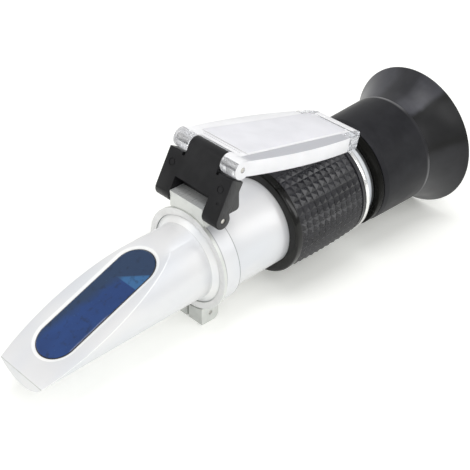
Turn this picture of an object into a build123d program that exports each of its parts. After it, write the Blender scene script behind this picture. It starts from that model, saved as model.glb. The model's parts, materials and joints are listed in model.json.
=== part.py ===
from build123d import *
import os
from math import atan2, cos, degrees, hypot, radians, sin, sqrt, tan

# Handheld prism refractometer. Every piece is modelled about the optical axis: X runs along the
# tube towards the eye, Z is up, and x = 0 is the front face of the trim ring. At the end the whole
# instrument is laid on its clamp lug and its eyecup, as it lies on a bench. Sizes in millimetres.

# ---- clearances -------------------------------------------------------------------------------
seat_gap = 0.02          # between pieces that are fixed to each other
running_gap = 0.05       # round a pin or shaft that turns in a hole
stop_gap = 0.05          # between two faces that stop a hinge
lid_gap = 0.08           # between the closed daylight plate and the prism
overcut = 1.0            # how far a cutting shape runs past what it cuts

# ---- main tube --------------------------------------------------------------------------------
barrel_radius = 14.0
barrel_wall = 1.25
barrel_bare_length = 27.7    # bare tube in front of the trim ring
grip_seat_radius = 15.4      # raised seat under the grip
trim_width = 2.5
trim_radius = 17.2
trim_rounding = 0.8
grip_length = 28.43
grip_end_radius = 17.2
grip_crown_radius = 17.6
lip_width = 1.37             # bright lip behind the grip
lip_radius = 17.3
neck_radius = 15.2
neck_bore_radius = 12.0
neck_length = 19.7           # behind the bright lip
spigot_radius = 13.57        # rear ring's spigot in the barrel
spigot_length = 8.0

# ---- prism head -------------------------------------------------------------------------------
head_radius = 11.8
head_length = 57.99
shoulder_length = 1.45
shoulder_radius = 13.75
head_spigot_length = 7.0
head_spigot_bore = 9.0
slant_angle = 20.06
pin_over_slant = 3.04        # lower hinge pin above the slanted face
window_start = 7.0           # along the slanted face, from its lower edge
window_top_land = 6.95       # slanted face left behind the window
window_half_width = 6.6
window_bevel = 1.0
window_bevel_depth = 0.25
seal_width = 0.25
seal_depth = 1.2
prism_floor_height = -8.2
exit_face_setback = 0.1
light_bore_radius = 5.2

# ---- hinge collar -----------------------------------------------------------------------------
collar_lip_radius = 16.1
collar_lip_width = 1.0
collar_band_radius = 15.45
collar_overhang = 0.3        # lip in front of the barrel's end
collar_length = 6.8
boss_half_width = 6.87
boss_height = 20.33
boss_setback = 0.33          # boss face behind the lip's face
boss_chamfer = 0.35
lug_half_width = 6.3
lug_drop = 21.2
lug_length = 6.6
lug_step = 0.2               # lug face in front of the lip's face
lug_rounding = 2.2
lug_slit = 1.1
lug_groove_width = 0.4
lug_groove_depth = 0.6
clamp_screw_drop = 18.15
clamp_screw_setback = 3.5
clamp_screw_radius = 0.7
clamp_head_radius = 1.3
clamp_head_height = 1.2
clamp_head_sink = 0.4
clamp_tip_sink = 0.8
clamp_socket_radius = 0.55
clamp_socket_depth = 0.7

# ---- double hinge -----------------------------------------------------------------------------
hinge_pin_radius = 0.8
hinge_pin_sink = 0.1         # pin ends behind the outer faces
lower_pin_setback = 2.5      # behind the collar lip's face
lower_pin_height = 18.45
pin_spacing = 15.25
bracket_lean = 60.2          # slope of the line through both pins, open
bracket_front = 2.65         # front face from that line, and radius of both ends
bracket_back = 2.0
bracket_half_width = 12.9
bracket_side_clearance = 0.13
tongue_half_width = 6.5
wing_top = 12.1              # along the pin line
web_start = 4.9              # underside of the web, along the pin line
web_step = -0.5              # where the underside steps down onto the boss
heel_reach = 6.2             # heel behind the lower pin
heel_rise = 1.3              # heel above the lower pin
heel_rounding = 1.2
bracket_edge_rounding = 0.35

# ---- daylight plate ---------------------------------------------------------------------------
plate_slope = 14.5           # downwards to the eye, open
plate_length = 54.6
plate_hinge_half_width = 12.6
plate_belly_setback = 29.6     # widest place, from the free end
plate_belly_half_width = 13.6
plate_corner_length = 2.3    # of the cut-off free corners
plate_shoulder_half_width = 10.5
plate_end_half_width = 8.9
plate_corner_rounding = 0.8
plate_rim_depth = 4.7
plate_panel_thickness = 2.5
pad_raise = 0.5
pad_start = 4.6
plate_end_land = 4.6         # rim behind the pad, at the free end
pad_start_half_width = 9.3
pad_end_half_width = 7.7
pad_corner = 2.0
knuckle_radius = 3.0
knuckle_inner = 6.6
knuckle_outer = 12.75
tongue_clearance = 0.5
plate_rest_gap = 0.25        # over the grip, open
plate_edge_rounding = 0.3

# ---- calibration ------------------------------------------------------------------------------
calibration_x = -12.8
bush_flange_radius = 3.4
bush_flange_height = 1.0
bush_radius = 2.8
bush_reach = 0.3             # inside the barrel's bore
calibration_head_radius = 2.0
calibration_head_height = 1.1
calibration_shank_radius = 1.25
calibration_tip_height = 9.0
calibration_slot_width = 0.5
calibration_slot_depth = 0.5

# ---- objective --------------------------------------------------------------------------------
carrier_radius = 12.0
carrier_bore = 8.6
carrier_length = 6.0
strip_thickness = 0.5
strip_width = 5.0
strip_length = 18.5
strip_seat_drop = 8.8
strip_screw_radius = 0.8
strip_head_radius = 1.5
strip_head_height = 0.8
strip_screw_depth = 2.6
spring_thickness = 0.15
spring_foot = 0.4
spring_width = 4.0
spring_span = 5.6
cell_radius = 8.0
cell_bore = 6.6
cell_shoulder = 5.8
cell_length = 6.0
cell_seat = 1.5
cell_foot_width = 4.4
cell_foot_root = 0.5         # how far the foot reaches into the ring
objective_edge = 2.0
objective_bulge = 0.7

# ---- reticle ----------------------------------------------------------------------------------
stop_x = 8.0
stop_thickness = 1.0
stop_hole_radius = 6.0
reticle_holder_x = 24.5
reticle_holder_length = 5.5
reticle_holder_bore = 9.0
reticle_radius = 10.0
reticle_seat = 1.5
reticle_thickness = 1.5
reticle_ring_width = 1.4
reticle_ring_bore = 8.8

# ---- eyepiece ---------------------------------------------------------------------------------
focus_gap = 3.9              # bare neck between the bright lip and the bead
focus_in = 3.0               # travel towards the lip
bead_width = 3.16
bead_radius = 17.3
bead_rounding = 0.6
shell_radius = 16.4
shell_length = 23.2
shell_slot_end_gap = 0.4     # left in front of the neck's end, fully screwed in
lens_tube_radius = 11.9
lens_tube_start = 9.8        # from the bead's face
lens_radius = 10.0
lens_stop_radius = 9.0
lens_stop_width = 1.0
field_lens_edge = 2.0
field_lens_bulge = 0.7
spacer_length = 3.0
spacer_bore = 9.0
eye_lens_edge = 2.2
eye_lens_bulge = 1.0
eye_ring_bore = 8.2
o_ring_x = 11.8              # from the bead's face
o_ring_section = 0.35
o_ring_groove_width = 0.9

# ---- eyecup -----------------------------------------------------------------------------------
sleeve_front_radius = 17.3
sleeve_chamfer = 1.9
sleeve_radius = 17.6
sleeve_length = 21.2
waist_radius = 18.1
flare_length = 13.1
rim_radius = 23.9
rim_width = 1.2
cup_neck_radius = 13.6
cup_throat_radius = 16.3
cup_lip_thickness = 1.3
flare_hollow = 1.0           # how far the flare curves in from a straight cone

# ---- stations along the axis ------------------------------------------------------------------
barrel_front = -barrel_bare_length
head_rear = barrel_front - shoulder_length
head_tip = head_rear - head_length
barrel_bore = barrel_radius - barrel_wall
grip_front = trim_width
grip_rear = grip_front + grip_length
lip_rear = grip_rear + lip_width
bead_front = lip_rear + focus_gap
bead_rear = bead_front + bead_width
shell_rear = bead_front + shell_length
waist = bead_rear + sleeve_length
rim = waist + flare_length
collar_front = barrel_front - collar_overhang
collar_rear = collar_front + collar_length
lug_front = collar_front - lug_step
lug_rear = lug_front + lug_length
lower_pin = (collar_front + lower_pin_setback, lower_pin_height)
upper_pin = (
    lower_pin[0] + pin_spacing * cos(radians(bracket_lean)),
    lower_pin[1] + pin_spacing * sin(radians(bracket_lean)),
)
leg_inner = boss_half_width + bracket_side_clearance
lie = degrees(atan2(rim_radius - lug_drop, rim - lug_front))
slant_x = cos(radians(slant_angle))
slant_z = sin(radians(slant_angle))
slant_start_height = (
    lower_pin[1] - (pin_over_slant + (lower_pin[0] - head_tip) * slant_z) / slant_x
)
window_end = (head_radius - slant_start_height) / slant_z - window_top_land
plate_belly = plate_length - plate_belly_setback
plate_shoulder = plate_length - plate_corner_length
pad_end = plate_length - plate_end_land


# ---- helpers ----------------------------------------------------------------------------------
def turned(*profile):
    """A body of revolution about the optical axis, from (x, radius) points."""
    outline = Polyline(*[(x, 0, r) for x, r in profile], close=True)
    return revolve(make_face(outline), Axis.X, 360)


def ring(start, end, outer, inner):
    """A plain ring on the optical axis."""
    return turned((start, inner), (start, outer), (end, outer), (end, inner))


def disc(start, end, radius):
    """A plain disc on the optical axis."""
    return turned((start, 0), (start, radius), (end, radius), (end, 0))


def crown(bulge, radius, at):
    """How far a domed lens face stands above its rim, at a distance from the axis."""
    ball = (radius**2 + bulge**2) / (2 * bulge)
    return sqrt(ball**2 - at**2) - (ball - bulge)


def lens(rim_start, edge, bulge, radius):
    """A biconvex lens on the optical axis, edge thick at its rim, each face domed by bulge."""
    rim_end = rim_start + edge
    half_way = crown(bulge, radius, radius / 2)
    outline = [
        ThreePointArc(
            (rim_start - bulge, 0, 0), (rim_start - half_way, 0, radius / 2), (rim_start, 0, radius)
        ),
        Line((rim_start, 0, radius), (rim_end, 0, radius)),
        ThreePointArc(
            (rim_end, 0, radius), (rim_end + half_way, 0, radius / 2), (rim_end + bulge, 0, 0)
        ),
        Line((rim_end + bulge, 0, 0), (rim_start - bulge, 0, 0)),
    ]
    return revolve(make_face(outline), Axis.X, 360)


def cross_rod(centre, radius, y_start, y_end):
    """A round rod or hole along Y through the side-view point (x, z)."""
    x, z = centre
    rod = Cylinder(radius, y_end - y_start, rotation=(-90, 0, 0))
    return Pos(x, (y_start + y_end) / 2, z) * rod


def upright(x, radius, z_start, z_end):
    """A round rod or hole along Z on the plane of symmetry."""
    return Pos(x, 0, (z_start + z_end) / 2) * Cylinder(radius, z_end - z_start)


def block(x_range, y_half, z_range):
    """A box from x to x and z to z, y_half to each side."""
    x0, x1 = x_range
    z0, z1 = z_range
    return Pos((x0 + x1) / 2, 0, (z0 + z1) / 2) * Box(x1 - x0, 2 * y_half, z1 - z0)


def side_plate(edges, y_half):
    """The side-view outline, extruded y_half to each side."""
    return extrude(make_face(edges), amount=y_half, dir=(0, 1, 0), both=True)


def on_slant(along, depth=0.0):
    """Side-view point on the slanted face, or depth below it."""
    return (
        head_tip + along * slant_x + depth * slant_z,
        slant_start_height + along * slant_z - depth * slant_x,
    )


def slant_plane(depth=0.0):
    """Plane of the slanted face: its x runs up the slope and its z points out of the head."""
    x, z = on_slant(0, depth)
    return Plane(origin=(x, 0, z), x_dir=(slant_x, 0, slant_z), z_dir=(-slant_z, 0, slant_x))


def window(inset=0.0, depth=0.0):
    """The window's stadium outline on the slanted face, smaller by inset."""
    length = window_end - window_start - 2 * inset
    middle = (window_start + window_end) / 2
    shape = SlotOverall(length, 2 * (window_half_width - inset))
    return slant_plane(depth) * Pos(middle, 0, 0) * shape


def pinned(along, out):
    """Side-view point on the open bracket: along the pin line, and out of its front."""
    lean = radians(bracket_lean)
    return (
        lower_pin[0] + along * cos(lean) - out * sin(lean),
        lower_pin[1] + along * sin(lean) + out * cos(lean),
    )


def side(point):
    """A side-view point in space."""
    return (point[0], 0, point[1])


# ---- prism head -------------------------------------------------------------------------------
def exit_face():
    """X of the prism's flat rear face."""
    return on_slant(window_end - seal_width)[0] + exit_face_setback


def prism_block(gap):
    """The wedge of glass, larger by gap on its hidden faces."""
    depth = window_end * slant_z + head_radius
    wedge = extrude(window(seal_width - gap), amount=-depth)
    keep = block(
        (head_tip, exit_face() + gap), head_radius, (prism_floor_height - gap, head_radius)
    )
    return wedge & keep


def make_main_prism():
    return prism_block(0)


def make_prism_seal():
    outer = extrude(window(seat_gap, window_bevel_depth), amount=-seal_depth)
    inner = extrude(window(seal_width - seat_gap), amount=-window_bevel_depth - 2 * seal_depth)
    return outer - inner


def make_prism_housing():
    """Tube cut off at a slant, with a stepped pocket for the prism and a light bore behind it."""
    spigot_end = barrel_front + head_spigot_length
    spigot = barrel_bore - seat_gap
    body = turned(
        (head_tip, 0),
        (head_tip, head_radius),
        (head_rear, head_radius),
        (barrel_front, shoulder_radius),
        (barrel_front, spigot),
        (spigot_end, spigot),
        (spigot_end, 0),
    )
    top = slant_plane() * Pos(head_length / 2, 0, head_radius)
    body -= top * Box(2 * head_length, 4 * head_radius, 2 * head_radius)
    body -= loft([window(-window_bevel), window(0, window_bevel_depth)])
    body -= extrude(window(0, window_bevel_depth), amount=-seal_depth)
    body -= prism_block(seat_gap)
    body -= disc(exit_face(), spigot_end, light_bore_radius)
    body -= disc(head_rear, spigot_end, head_spigot_bore)
    return body


# ---- hinge collar -----------------------------------------------------------------------------
def make_hinge_collar():
    """Split clamp ring with the hinge boss on top and the clamp lug below."""
    bore = barrel_radius + seat_gap
    body = turned(
        (collar_front, bore / 2),
        (collar_front, collar_lip_radius),
        (collar_front + collar_lip_width, collar_lip_radius),
        (collar_front + collar_lip_width, collar_band_radius),
        (collar_rear, collar_band_radius),
        (collar_rear, bore / 2),
    )
    boss = block((collar_front + boss_setback, collar_rear), boss_half_width, (bore / 2, boss_height))
    top_edges = boss.faces().sort_by(Axis.Z)[-1].edges()
    body += chamfer(top_edges, boss_chamfer)
    lug_rear_drop = lug_drop + lug_length * tan(radians(lie))
    lug = side_plate(
        [
            Polyline(
                (lug_rear, 0, -lug_rear_drop),
                (lug_front, 0, -lug_drop),
                (lug_front, 0, -bore / 2),
                (lug_rear, 0, -bore / 2),
                close=True,
            )
        ],
        lug_half_width,
    )
    heel = lug.edges().filter_by(Axis.Y).sort_by(Axis.Z)[0]
    body += fillet(heel, lug_rounding)
    body -= ring(
        lug_front - overcut,
        collar_front + lug_groove_depth,
        collar_lip_radius + lug_groove_width,
        collar_lip_radius,
    )
    body -= ring(lug_front - overcut, collar_front, collar_lip_radius, bore / 2)
    body -= disc(lug_front - overcut, collar_rear + overcut, bore)
    slit_bottom = -lug_rear_drop - overcut
    body -= block((lug_front - overcut, collar_rear + overcut), lug_slit / 2, (slit_bottom, -bore / 2))
    body -= cross_rod(lower_pin, hinge_pin_radius + running_gap, -bore, bore)
    body -= cross_rod(clamp_axis(), clamp_screw_radius + seat_gap, -lug_drop, lug_drop)
    counterbore = clamp_head_radius + seat_gap
    body -= cross_rod(clamp_axis(), counterbore, clamp_head_seat(), lug_half_width + overcut)
    return body


def clamp_axis():
    """Side-view place of the clamp screw."""
    return (lug_front + clamp_screw_setback, -clamp_screw_drop)


def clamp_head_seat():
    """Y of the face that the clamp screw's head pulls on."""
    return lug_half_width - clamp_head_sink - clamp_head_height


def make_collar_clamp_screw():
    tip = -lug_half_width + clamp_tip_sink
    head_end = clamp_head_seat() + clamp_head_height
    body = cross_rod(clamp_axis(), clamp_screw_radius, tip, clamp_head_seat() + seat_gap)
    body += cross_rod(clamp_axis(), clamp_head_radius, clamp_head_seat() + seat_gap, head_end)
    x, z = clamp_axis()
    socket = extrude(RegularPolygon(clamp_socket_radius, 6), amount=clamp_socket_depth)
    return body - Pos(x, head_end, z) * Rot(90, 0, 0) * socket


# ---- double hinge -----------------------------------------------------------------------------
def make_hinge_bracket():
    """Two legs astride the boss, a web that stops on it, two wings and the middle tongue."""
    reach = bracket_front
    heel_x = lower_pin[0] + heel_reach
    heel_z = lower_pin[1] + heel_rise
    back_start = pinned(wing_top, -bracket_back)
    lean = radians(bracket_lean)
    # where the sloping back runs into the heel's upright face
    back_run = (heel_reach - bracket_back * sin(lean)) / cos(lean)
    leg_rear_x = lower_pin[0] + sqrt(reach**2 - heel_rise**2)
    edges = [
        Polyline(
            side(pinned(0, reach)),
            side(pinned(wing_top, reach)),
            side(back_start),
            side(pinned(back_run, -bracket_back)),
            (heel_x, 0, heel_z + heel_rounding),
        ),
        ThreePointArc(
            (heel_x, 0, heel_z + heel_rounding),
            (
                heel_x - heel_rounding * (1 - sqrt(0.5)),
                0,
                heel_z + heel_rounding * (1 - sqrt(0.5)),
            ),
            (heel_x - heel_rounding, 0, heel_z),
        ),
        Line((heel_x - heel_rounding, 0, heel_z), (leg_rear_x, 0, heel_z)),
        ThreePointArc((leg_rear_x, 0, heel_z), side(pinned(-reach, 0)), side(pinned(0, reach))),
    ]
    body = side_plate(edges, bracket_half_width)
    outer_faces = body.faces().filter_by(Axis.Y)
    body = fillet(outer_faces.edges(), bracket_edge_rounding)
    step_x, step_z = pinned(web_start, web_step)
    rest_z = boss_height + stop_gap
    notch = side_plate(
        [
            Polyline(
                side(pinned(web_start, 2 * reach)),
                (step_x, 0, step_z),
                (step_x, 0, rest_z),
                (heel_x + reach, 0, rest_z),
                (heel_x + reach, 0, lower_pin[1] - 2 * reach),
                (lower_pin[0] - 4 * reach, 0, lower_pin[1] - 2 * reach),
                close=True,
            )
        ],
        leg_inner,
    )
    body -= notch
    tongue = side_plate(
        [
            Polyline(
                side(pinned(pin_spacing, -reach)),
                side(pinned(wing_top - reach, -bracket_back)),
                side(pinned(wing_top - reach, reach)),
                side(pinned(pin_spacing, reach)),
            ),
            ThreePointArc(
                side(pinned(pin_spacing, reach)),
                side(pinned(pin_spacing + reach, 0)),
                side(pinned(pin_spacing, -reach)),
            ),
        ],
        tongue_half_width,
    )
    body += tongue
    hole = hinge_pin_radius + seat_gap
    past = bracket_half_width + overcut
    body -= cross_rod(lower_pin, hole, -past, past)
    body -= cross_rod(upper_pin, hole, -past, past)
    return body


def make_lower_hinge_pin():
    end = bracket_half_width - hinge_pin_sink
    return cross_rod(lower_pin, hinge_pin_radius, -end, end)


def make_upper_hinge_pin():
    end = knuckle_outer - hinge_pin_sink
    return cross_rod(upper_pin, hinge_pin_radius, -end, end)


# ---- daylight plate ---------------------------------------------------------------------------
def plate_place(height=0.0):
    """Plane of the open plate at the upper pin: x along it, z out of the side that meets the prism."""
    slope = radians(plate_slope)
    along = (cos(slope), 0, -sin(slope))
    out = (sin(slope), 0, cos(slope))
    x, z = upper_pin
    origin = (x + height * out[0], 0, z + height * out[2])
    return Plane(origin=origin, x_dir=along, z_dir=out)


def plate_outline():
    """The plate seen square on, its long sides slightly bowed, its free corners cut off."""
    hinge = (0, plate_hinge_half_width)
    belly = (plate_belly, plate_belly_half_width)
    shoulder = (plate_shoulder, plate_shoulder_half_width)
    tip = (plate_length, plate_end_half_width)
    bowed_side = ThreePointArc(hinge, belly, shoulder)
    other_side = mirror(bowed_side, about=Plane.XZ)
    corners = Polyline(shoulder, tip, (tip[0], -tip[1]), (shoulder[0], -shoulder[1]))
    outline = make_face([Line((0, -hinge[1]), hinge), bowed_side, corners, other_side])
    return fillet(outline.vertices(), plate_corner_rounding)


def pad_outline():
    """The inner field of the plate, inside its rim."""
    outline = make_face(
        Polyline(
            (pad_start, -pad_start_half_width),
            (pad_start, pad_start_half_width),
            (pad_end, pad_end_half_width),
            (pad_end, -pad_end_half_width),
            close=True,
        )
    )
    return fillet(outline.vertices().group_by(Axis.X)[-1], pad_corner)


def make_daylight_plate():
    """Clear plate: a deep rim, a raised pad that presses the sample flat, and two knuckles."""
    pad_face = pin_over_slant - lid_gap
    land = pad_face - pad_raise
    outer_edge = land - plate_rim_depth
    body = extrude(plate_place(land) * plate_outline(), amount=-plate_rim_depth)
    wide_faces = body.faces().sort_by(SortBy.AREA)[-2:]
    body = fillet(wide_faces.edges(), plate_edge_rounding)
    hollow_depth = pad_face - plate_panel_thickness - outer_edge
    body -= extrude(plate_place(outer_edge) * pad_outline(), amount=hollow_depth)
    body += extrude(plate_place(pad_face) * pad_outline(), amount=-plate_panel_thickness / 2)
    for near, far in ((-knuckle_outer, -knuckle_inner), (knuckle_inner, knuckle_outer)):
        body += cross_rod(upper_pin, knuckle_radius, near, far)
    relief = bracket_front + tongue_clearance
    body -= cross_rod(upper_pin, relief, -knuckle_inner, knuckle_inner)
    past = knuckle_outer + overcut
    body -= cross_rod(upper_pin, hinge_pin_radius + running_gap, -past, past)
    body -= disc(grip_front, waist, grip_crown_radius + plate_rest_gap)
    return body


# ---- main tube --------------------------------------------------------------------------------
def make_main_barrel():
    """Tube with a raised seat for the grip and a wider bore for the rear ring."""
    rear_bore = spigot_radius + seat_gap
    spigot_start = grip_rear - spigot_length - seat_gap
    body = turned(
        (barrel_front + seat_gap, barrel_bore),
        (barrel_front + seat_gap, barrel_radius),
        (grip_front, barrel_radius),
        (grip_front, grip_seat_radius),
        (grip_rear - seat_gap, grip_seat_radius),
        (grip_rear - seat_gap, rear_bore),
        (spigot_start, rear_bore),
        (spigot_start, barrel_bore),
    )
    body -= upright(calibration_x, bush_radius + seat_gap, 0, barrel_radius + overcut)
    return body


def make_front_trim_ring():
    body = ring(0, trim_width - seat_gap, trim_radius, barrel_radius + seat_gap)
    outer_edges = body.edges().filter_by(GeomType.CIRCLE).group_by(SortBy.RADIUS)[-1]
    return fillet(outer_edges.sort_by(Axis.X)[0], trim_rounding)


def make_grip_sleeve():
    """Rubber sleeve, slightly barrel-shaped outside."""
    start = grip_front + seat_gap
    end = grip_rear - seat_gap
    inner = grip_seat_radius + seat_gap
    middle = (start + end) / 2
    edges = [
        Polyline(
            (start, 0, grip_end_radius), (start, 0, inner), (end, 0, inner), (end, 0, grip_end_radius)
        ),
        ThreePointArc(
            (end, 0, grip_end_radius), (middle, 0, grip_crown_radius), (start, 0, grip_end_radius)
        ),
    ]
    return revolve(make_face(edges), Axis.X, 360)


def make_rear_ring():
    """Bright lip, the neck that the eyepiece screws on, and the spigot in the barrel."""
    return turned(
        (grip_rear - spigot_length, neck_bore_radius),
        (grip_rear - spigot_length, spigot_radius),
        (grip_rear, spigot_radius),
        (grip_rear, lip_radius),
        (lip_rear, lip_radius),
        (lip_rear, neck_radius),
        (lip_rear + neck_length, neck_radius),
        (lip_rear + neck_length, neck_bore_radius),
    )


# ---- calibration ------------------------------------------------------------------------------
def bush_seat():
    """Height of the barrel's top."""
    return barrel_radius + seat_gap


def make_calibration_bush():
    bottom = barrel_bore - bush_reach
    top = bush_seat() + bush_flange_height
    body = upright(calibration_x, bush_radius, bottom, top)
    body += upright(calibration_x, bush_flange_radius, bush_seat(), top)
    head_seat = top - calibration_head_height
    body -= upright(calibration_x, calibration_head_radius + running_gap, head_seat, top + overcut)
    body -= upright(calibration_x, calibration_shank_radius + running_gap, 0, top)
    return body


def make_calibration_screw():
    """Slotted screw: it turns in its bush, and its thread moves the lens carrier."""
    top = bush_seat() + bush_flange_height
    head_seat = top - calibration_head_height + running_gap
    body = upright(calibration_x, calibration_shank_radius, calibration_tip_height, head_seat)
    body += upright(calibration_x, calibration_head_radius, head_seat, top)
    slot = Box(4 * calibration_head_radius, calibration_slot_width, 2 * calibration_slot_depth)
    return body - Pos(calibration_x, 0, top) * slot


# ---- objective --------------------------------------------------------------------------------
def make_lens_carrier():
    """Ring round the light path, tapped for the calibration screw, with a seat for the strip."""
    start = calibration_x - carrier_length / 2
    end = start + carrier_length
    body = ring(start, end, carrier_radius, carrier_bore)
    seat = block((start - overcut, end + overcut), strip_width / 2 + seat_gap, (-strip_seat_drop, 0))
    body -= seat
    shank_hole = calibration_shank_radius + running_gap
    body -= upright(calibration_x, shank_hole, 0, carrier_radius + overcut)
    shank = strip_screw_radius + seat_gap
    body -= upright(calibration_x, shank, -strip_seat_drop - strip_screw_depth, 0)
    return body


def strip_top():
    return -strip_seat_drop + seat_gap + strip_thickness


def make_bimetal_strip():
    start = calibration_x - carrier_length / 2
    body = block(
        (start, start + strip_length), strip_width / 2, (strip_top() - strip_thickness, strip_top())
    )
    return body - upright(calibration_x, strip_screw_radius + seat_gap, -carrier_radius, 0)


def make_strip_screw():
    head = strip_top() + seat_gap
    depth = strip_seat_drop + strip_screw_depth - seat_gap
    body = upright(calibration_x, strip_screw_radius, -depth, head)
    return body + upright(calibration_x, strip_head_radius, head, head + strip_head_height)


def make_carrier_spring():
    """Leaf spring that lifts the carrier: one arch between the bore and the carrier."""
    half = spring_span / 2
    foot = -sqrt(barrel_bore**2 - (spring_width / 2) ** 2) + seat_gap
    crown = -carrier_radius - seat_gap
    x = calibration_x
    return side_plate(
        [
            ThreePointArc((x - half, 0, foot), (x, 0, crown), (x + half, 0, foot)),
            Line((x + half, 0, foot), (x + half - spring_foot, 0, foot)),
            ThreePointArc(
                (x + half - spring_foot, 0, foot),
                (x, 0, crown - spring_thickness),
                (x - half + spring_foot, 0, foot),
            ),
            Line((x - half + spring_foot, 0, foot), (x - half, 0, foot)),
        ],
        spring_width / 2,
    )


def cell_start():
    """Front of the lens cell, at the strip's free end."""
    return calibration_x - carrier_length / 2 + strip_length - cell_length


def make_lens_cell():
    """Stepped ring with a foot on the strip."""
    start = cell_start()
    end = start + cell_length
    foot_height = strip_top() + seat_gap
    body = ring(start, end, cell_radius, cell_shoulder)
    body += block((start, end), cell_foot_width / 2, (foot_height, -cell_shoulder - cell_foot_root))
    return body - disc(start + cell_seat, end + overcut, cell_bore)


def objective_rim():
    """Front of the objective's rim: its dome rests on the cell's shoulder."""
    dome = crown(objective_bulge, cell_bore, cell_shoulder)
    return cell_start() + cell_seat + dome + seat_gap


def make_objective_lens():
    return lens(objective_rim(), objective_edge, objective_bulge, cell_bore - seat_gap)


def make_objective_retainer():
    dome = crown(objective_bulge, cell_bore, cell_shoulder)
    start = objective_rim() + objective_edge + dome + seat_gap
    return ring(start, cell_start() + cell_length, cell_bore - seat_gap, cell_shoulder)


# ---- reticle ----------------------------------------------------------------------------------
def make_field_stop():
    return ring(stop_x, stop_x + stop_thickness, barrel_bore - seat_gap, stop_hole_radius)


def make_reticle_holder():
    start = reticle_holder_x
    end = start + reticle_holder_length
    seat = start + reticle_seat
    outer = neck_bore_radius - seat_gap
    return turned(
        (start, reticle_holder_bore),
        (start, outer),
        (end, outer),
        (end, reticle_radius + seat_gap),
        (seat, reticle_radius + seat_gap),
        (seat, reticle_holder_bore),
    )


def make_reticle_glass():
    start = reticle_holder_x + reticle_seat + seat_gap
    return disc(start, start + reticle_thickness, reticle_radius)


def make_reticle_ring():
    start = reticle_holder_x + reticle_seat + reticle_thickness + 2 * seat_gap
    return ring(start, start + reticle_ring_width, reticle_radius, reticle_ring_bore)


# ---- eyepiece ---------------------------------------------------------------------------------
def shell_bore():
    return neck_radius + running_gap


def make_eyepiece_shell():
    """Bead ring, skirt that runs on the neck, and the lens tube inside the neck."""
    slot_end = lip_rear + neck_length + focus_in + shell_slot_end_gap
    tube_start = bead_front + lens_tube_start
    stop_end = tube_start + lens_stop_width
    body = turned(
        (bead_front, shell_bore()),
        (bead_front, bead_radius),
        (bead_rear, bead_radius),
        (bead_rear, shell_radius),
        (shell_rear, shell_radius),
        (shell_rear, lens_radius + seat_gap),
        (stop_end, lens_radius + seat_gap),
        (stop_end, lens_stop_radius),
        (tube_start, lens_stop_radius),
        (tube_start, lens_tube_radius),
        (slot_end, lens_tube_radius),
        (slot_end, shell_bore()),
    )
    bead_edges = body.edges().filter_by(GeomType.CIRCLE).group_by(SortBy.RADIUS)[-1]
    body = fillet(bead_edges, bead_rounding)
    middle = bead_front + o_ring_x
    half = o_ring_groove_width / 2
    groove_radius = o_ring_centre() + o_ring_section + seat_gap
    return body - ring(middle - half, middle + half, groove_radius, neck_radius)


def o_ring_centre():
    """Radius of the grease ring's centreline."""
    return neck_radius + running_gap + o_ring_section


def make_focus_o_ring():
    section = Pos(bead_front + o_ring_x, 0, o_ring_centre()) * Rot(90, 0, 0) * Circle(o_ring_section)
    return revolve(section, Axis.X, 360)


def lens_stack():
    """Front of the field lens's rim, the spacer, the eye lens's rim and the retaining ring."""
    stop_end = bead_front + lens_tube_start + lens_stop_width
    field = stop_end + seat_gap + crown(field_lens_bulge, lens_radius, lens_stop_radius)
    spacer = field + field_lens_edge + seat_gap + crown(field_lens_bulge, lens_radius, spacer_bore)
    eye = spacer + spacer_length + seat_gap + crown(eye_lens_bulge, lens_radius, spacer_bore)
    retainer = eye + eye_lens_edge + seat_gap + crown(eye_lens_bulge, lens_radius, eye_ring_bore)
    return field, spacer, eye, retainer


def make_field_lens():
    return lens(lens_stack()[0], field_lens_edge, field_lens_bulge, lens_radius)


def make_lens_spacer():
    start = lens_stack()[1]
    return ring(start, start + spacer_length, lens_radius, spacer_bore)


def make_eye_lens():
    return lens(lens_stack()[2], eye_lens_edge, eye_lens_bulge, lens_radius)


def make_eyepiece_ring():
    return ring(lens_stack()[3], shell_rear, lens_radius, eye_ring_bore)


# ---- eyecup -----------------------------------------------------------------------------------
def bowed_in(start, end, hollow):
    """Arc between two side-view points, curved towards the axis by hollow."""
    middle = ((start[0] + end[0]) / 2, (start[1] + end[1]) / 2)
    chord = hypot(end[0] - start[0], end[1] - start[1])
    across = ((end[1] - start[1]) / chord, -(end[0] - start[0]) / chord)
    through = (middle[0] + hollow * across[0], middle[1] + hollow * across[1])
    return ThreePointArc(side(start), side(through), side(end))


def make_eyecup():
    """Rubber sleeve over the eyepiece with a flared cup and an inner lip behind the shell."""
    inner = shell_radius + seat_gap
    front = bead_rear + seat_gap
    lip_front = shell_rear + seat_gap
    lip_back = lip_front + cup_lip_thickness
    rim_inner = rim_radius - rim_width
    edges = [
        Polyline(
            (lip_back, 0, cup_throat_radius),
            (lip_back, 0, cup_neck_radius),
            (lip_front, 0, cup_neck_radius),
            (lip_front, 0, inner),
            (front, 0, inner),
            (front, 0, sleeve_front_radius),
            (front + sleeve_chamfer, 0, sleeve_radius),
            (waist, 0, waist_radius),
        ),
        bowed_in((waist, waist_radius), (rim, rim_radius), flare_hollow),
        Line((rim, 0, rim_radius), (rim, 0, rim_inner)),
        bowed_in((rim, rim_inner), (lip_back, cup_throat_radius), -flare_hollow),
    ]
    return revolve(make_face(edges), Axis.X, 360)


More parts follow.
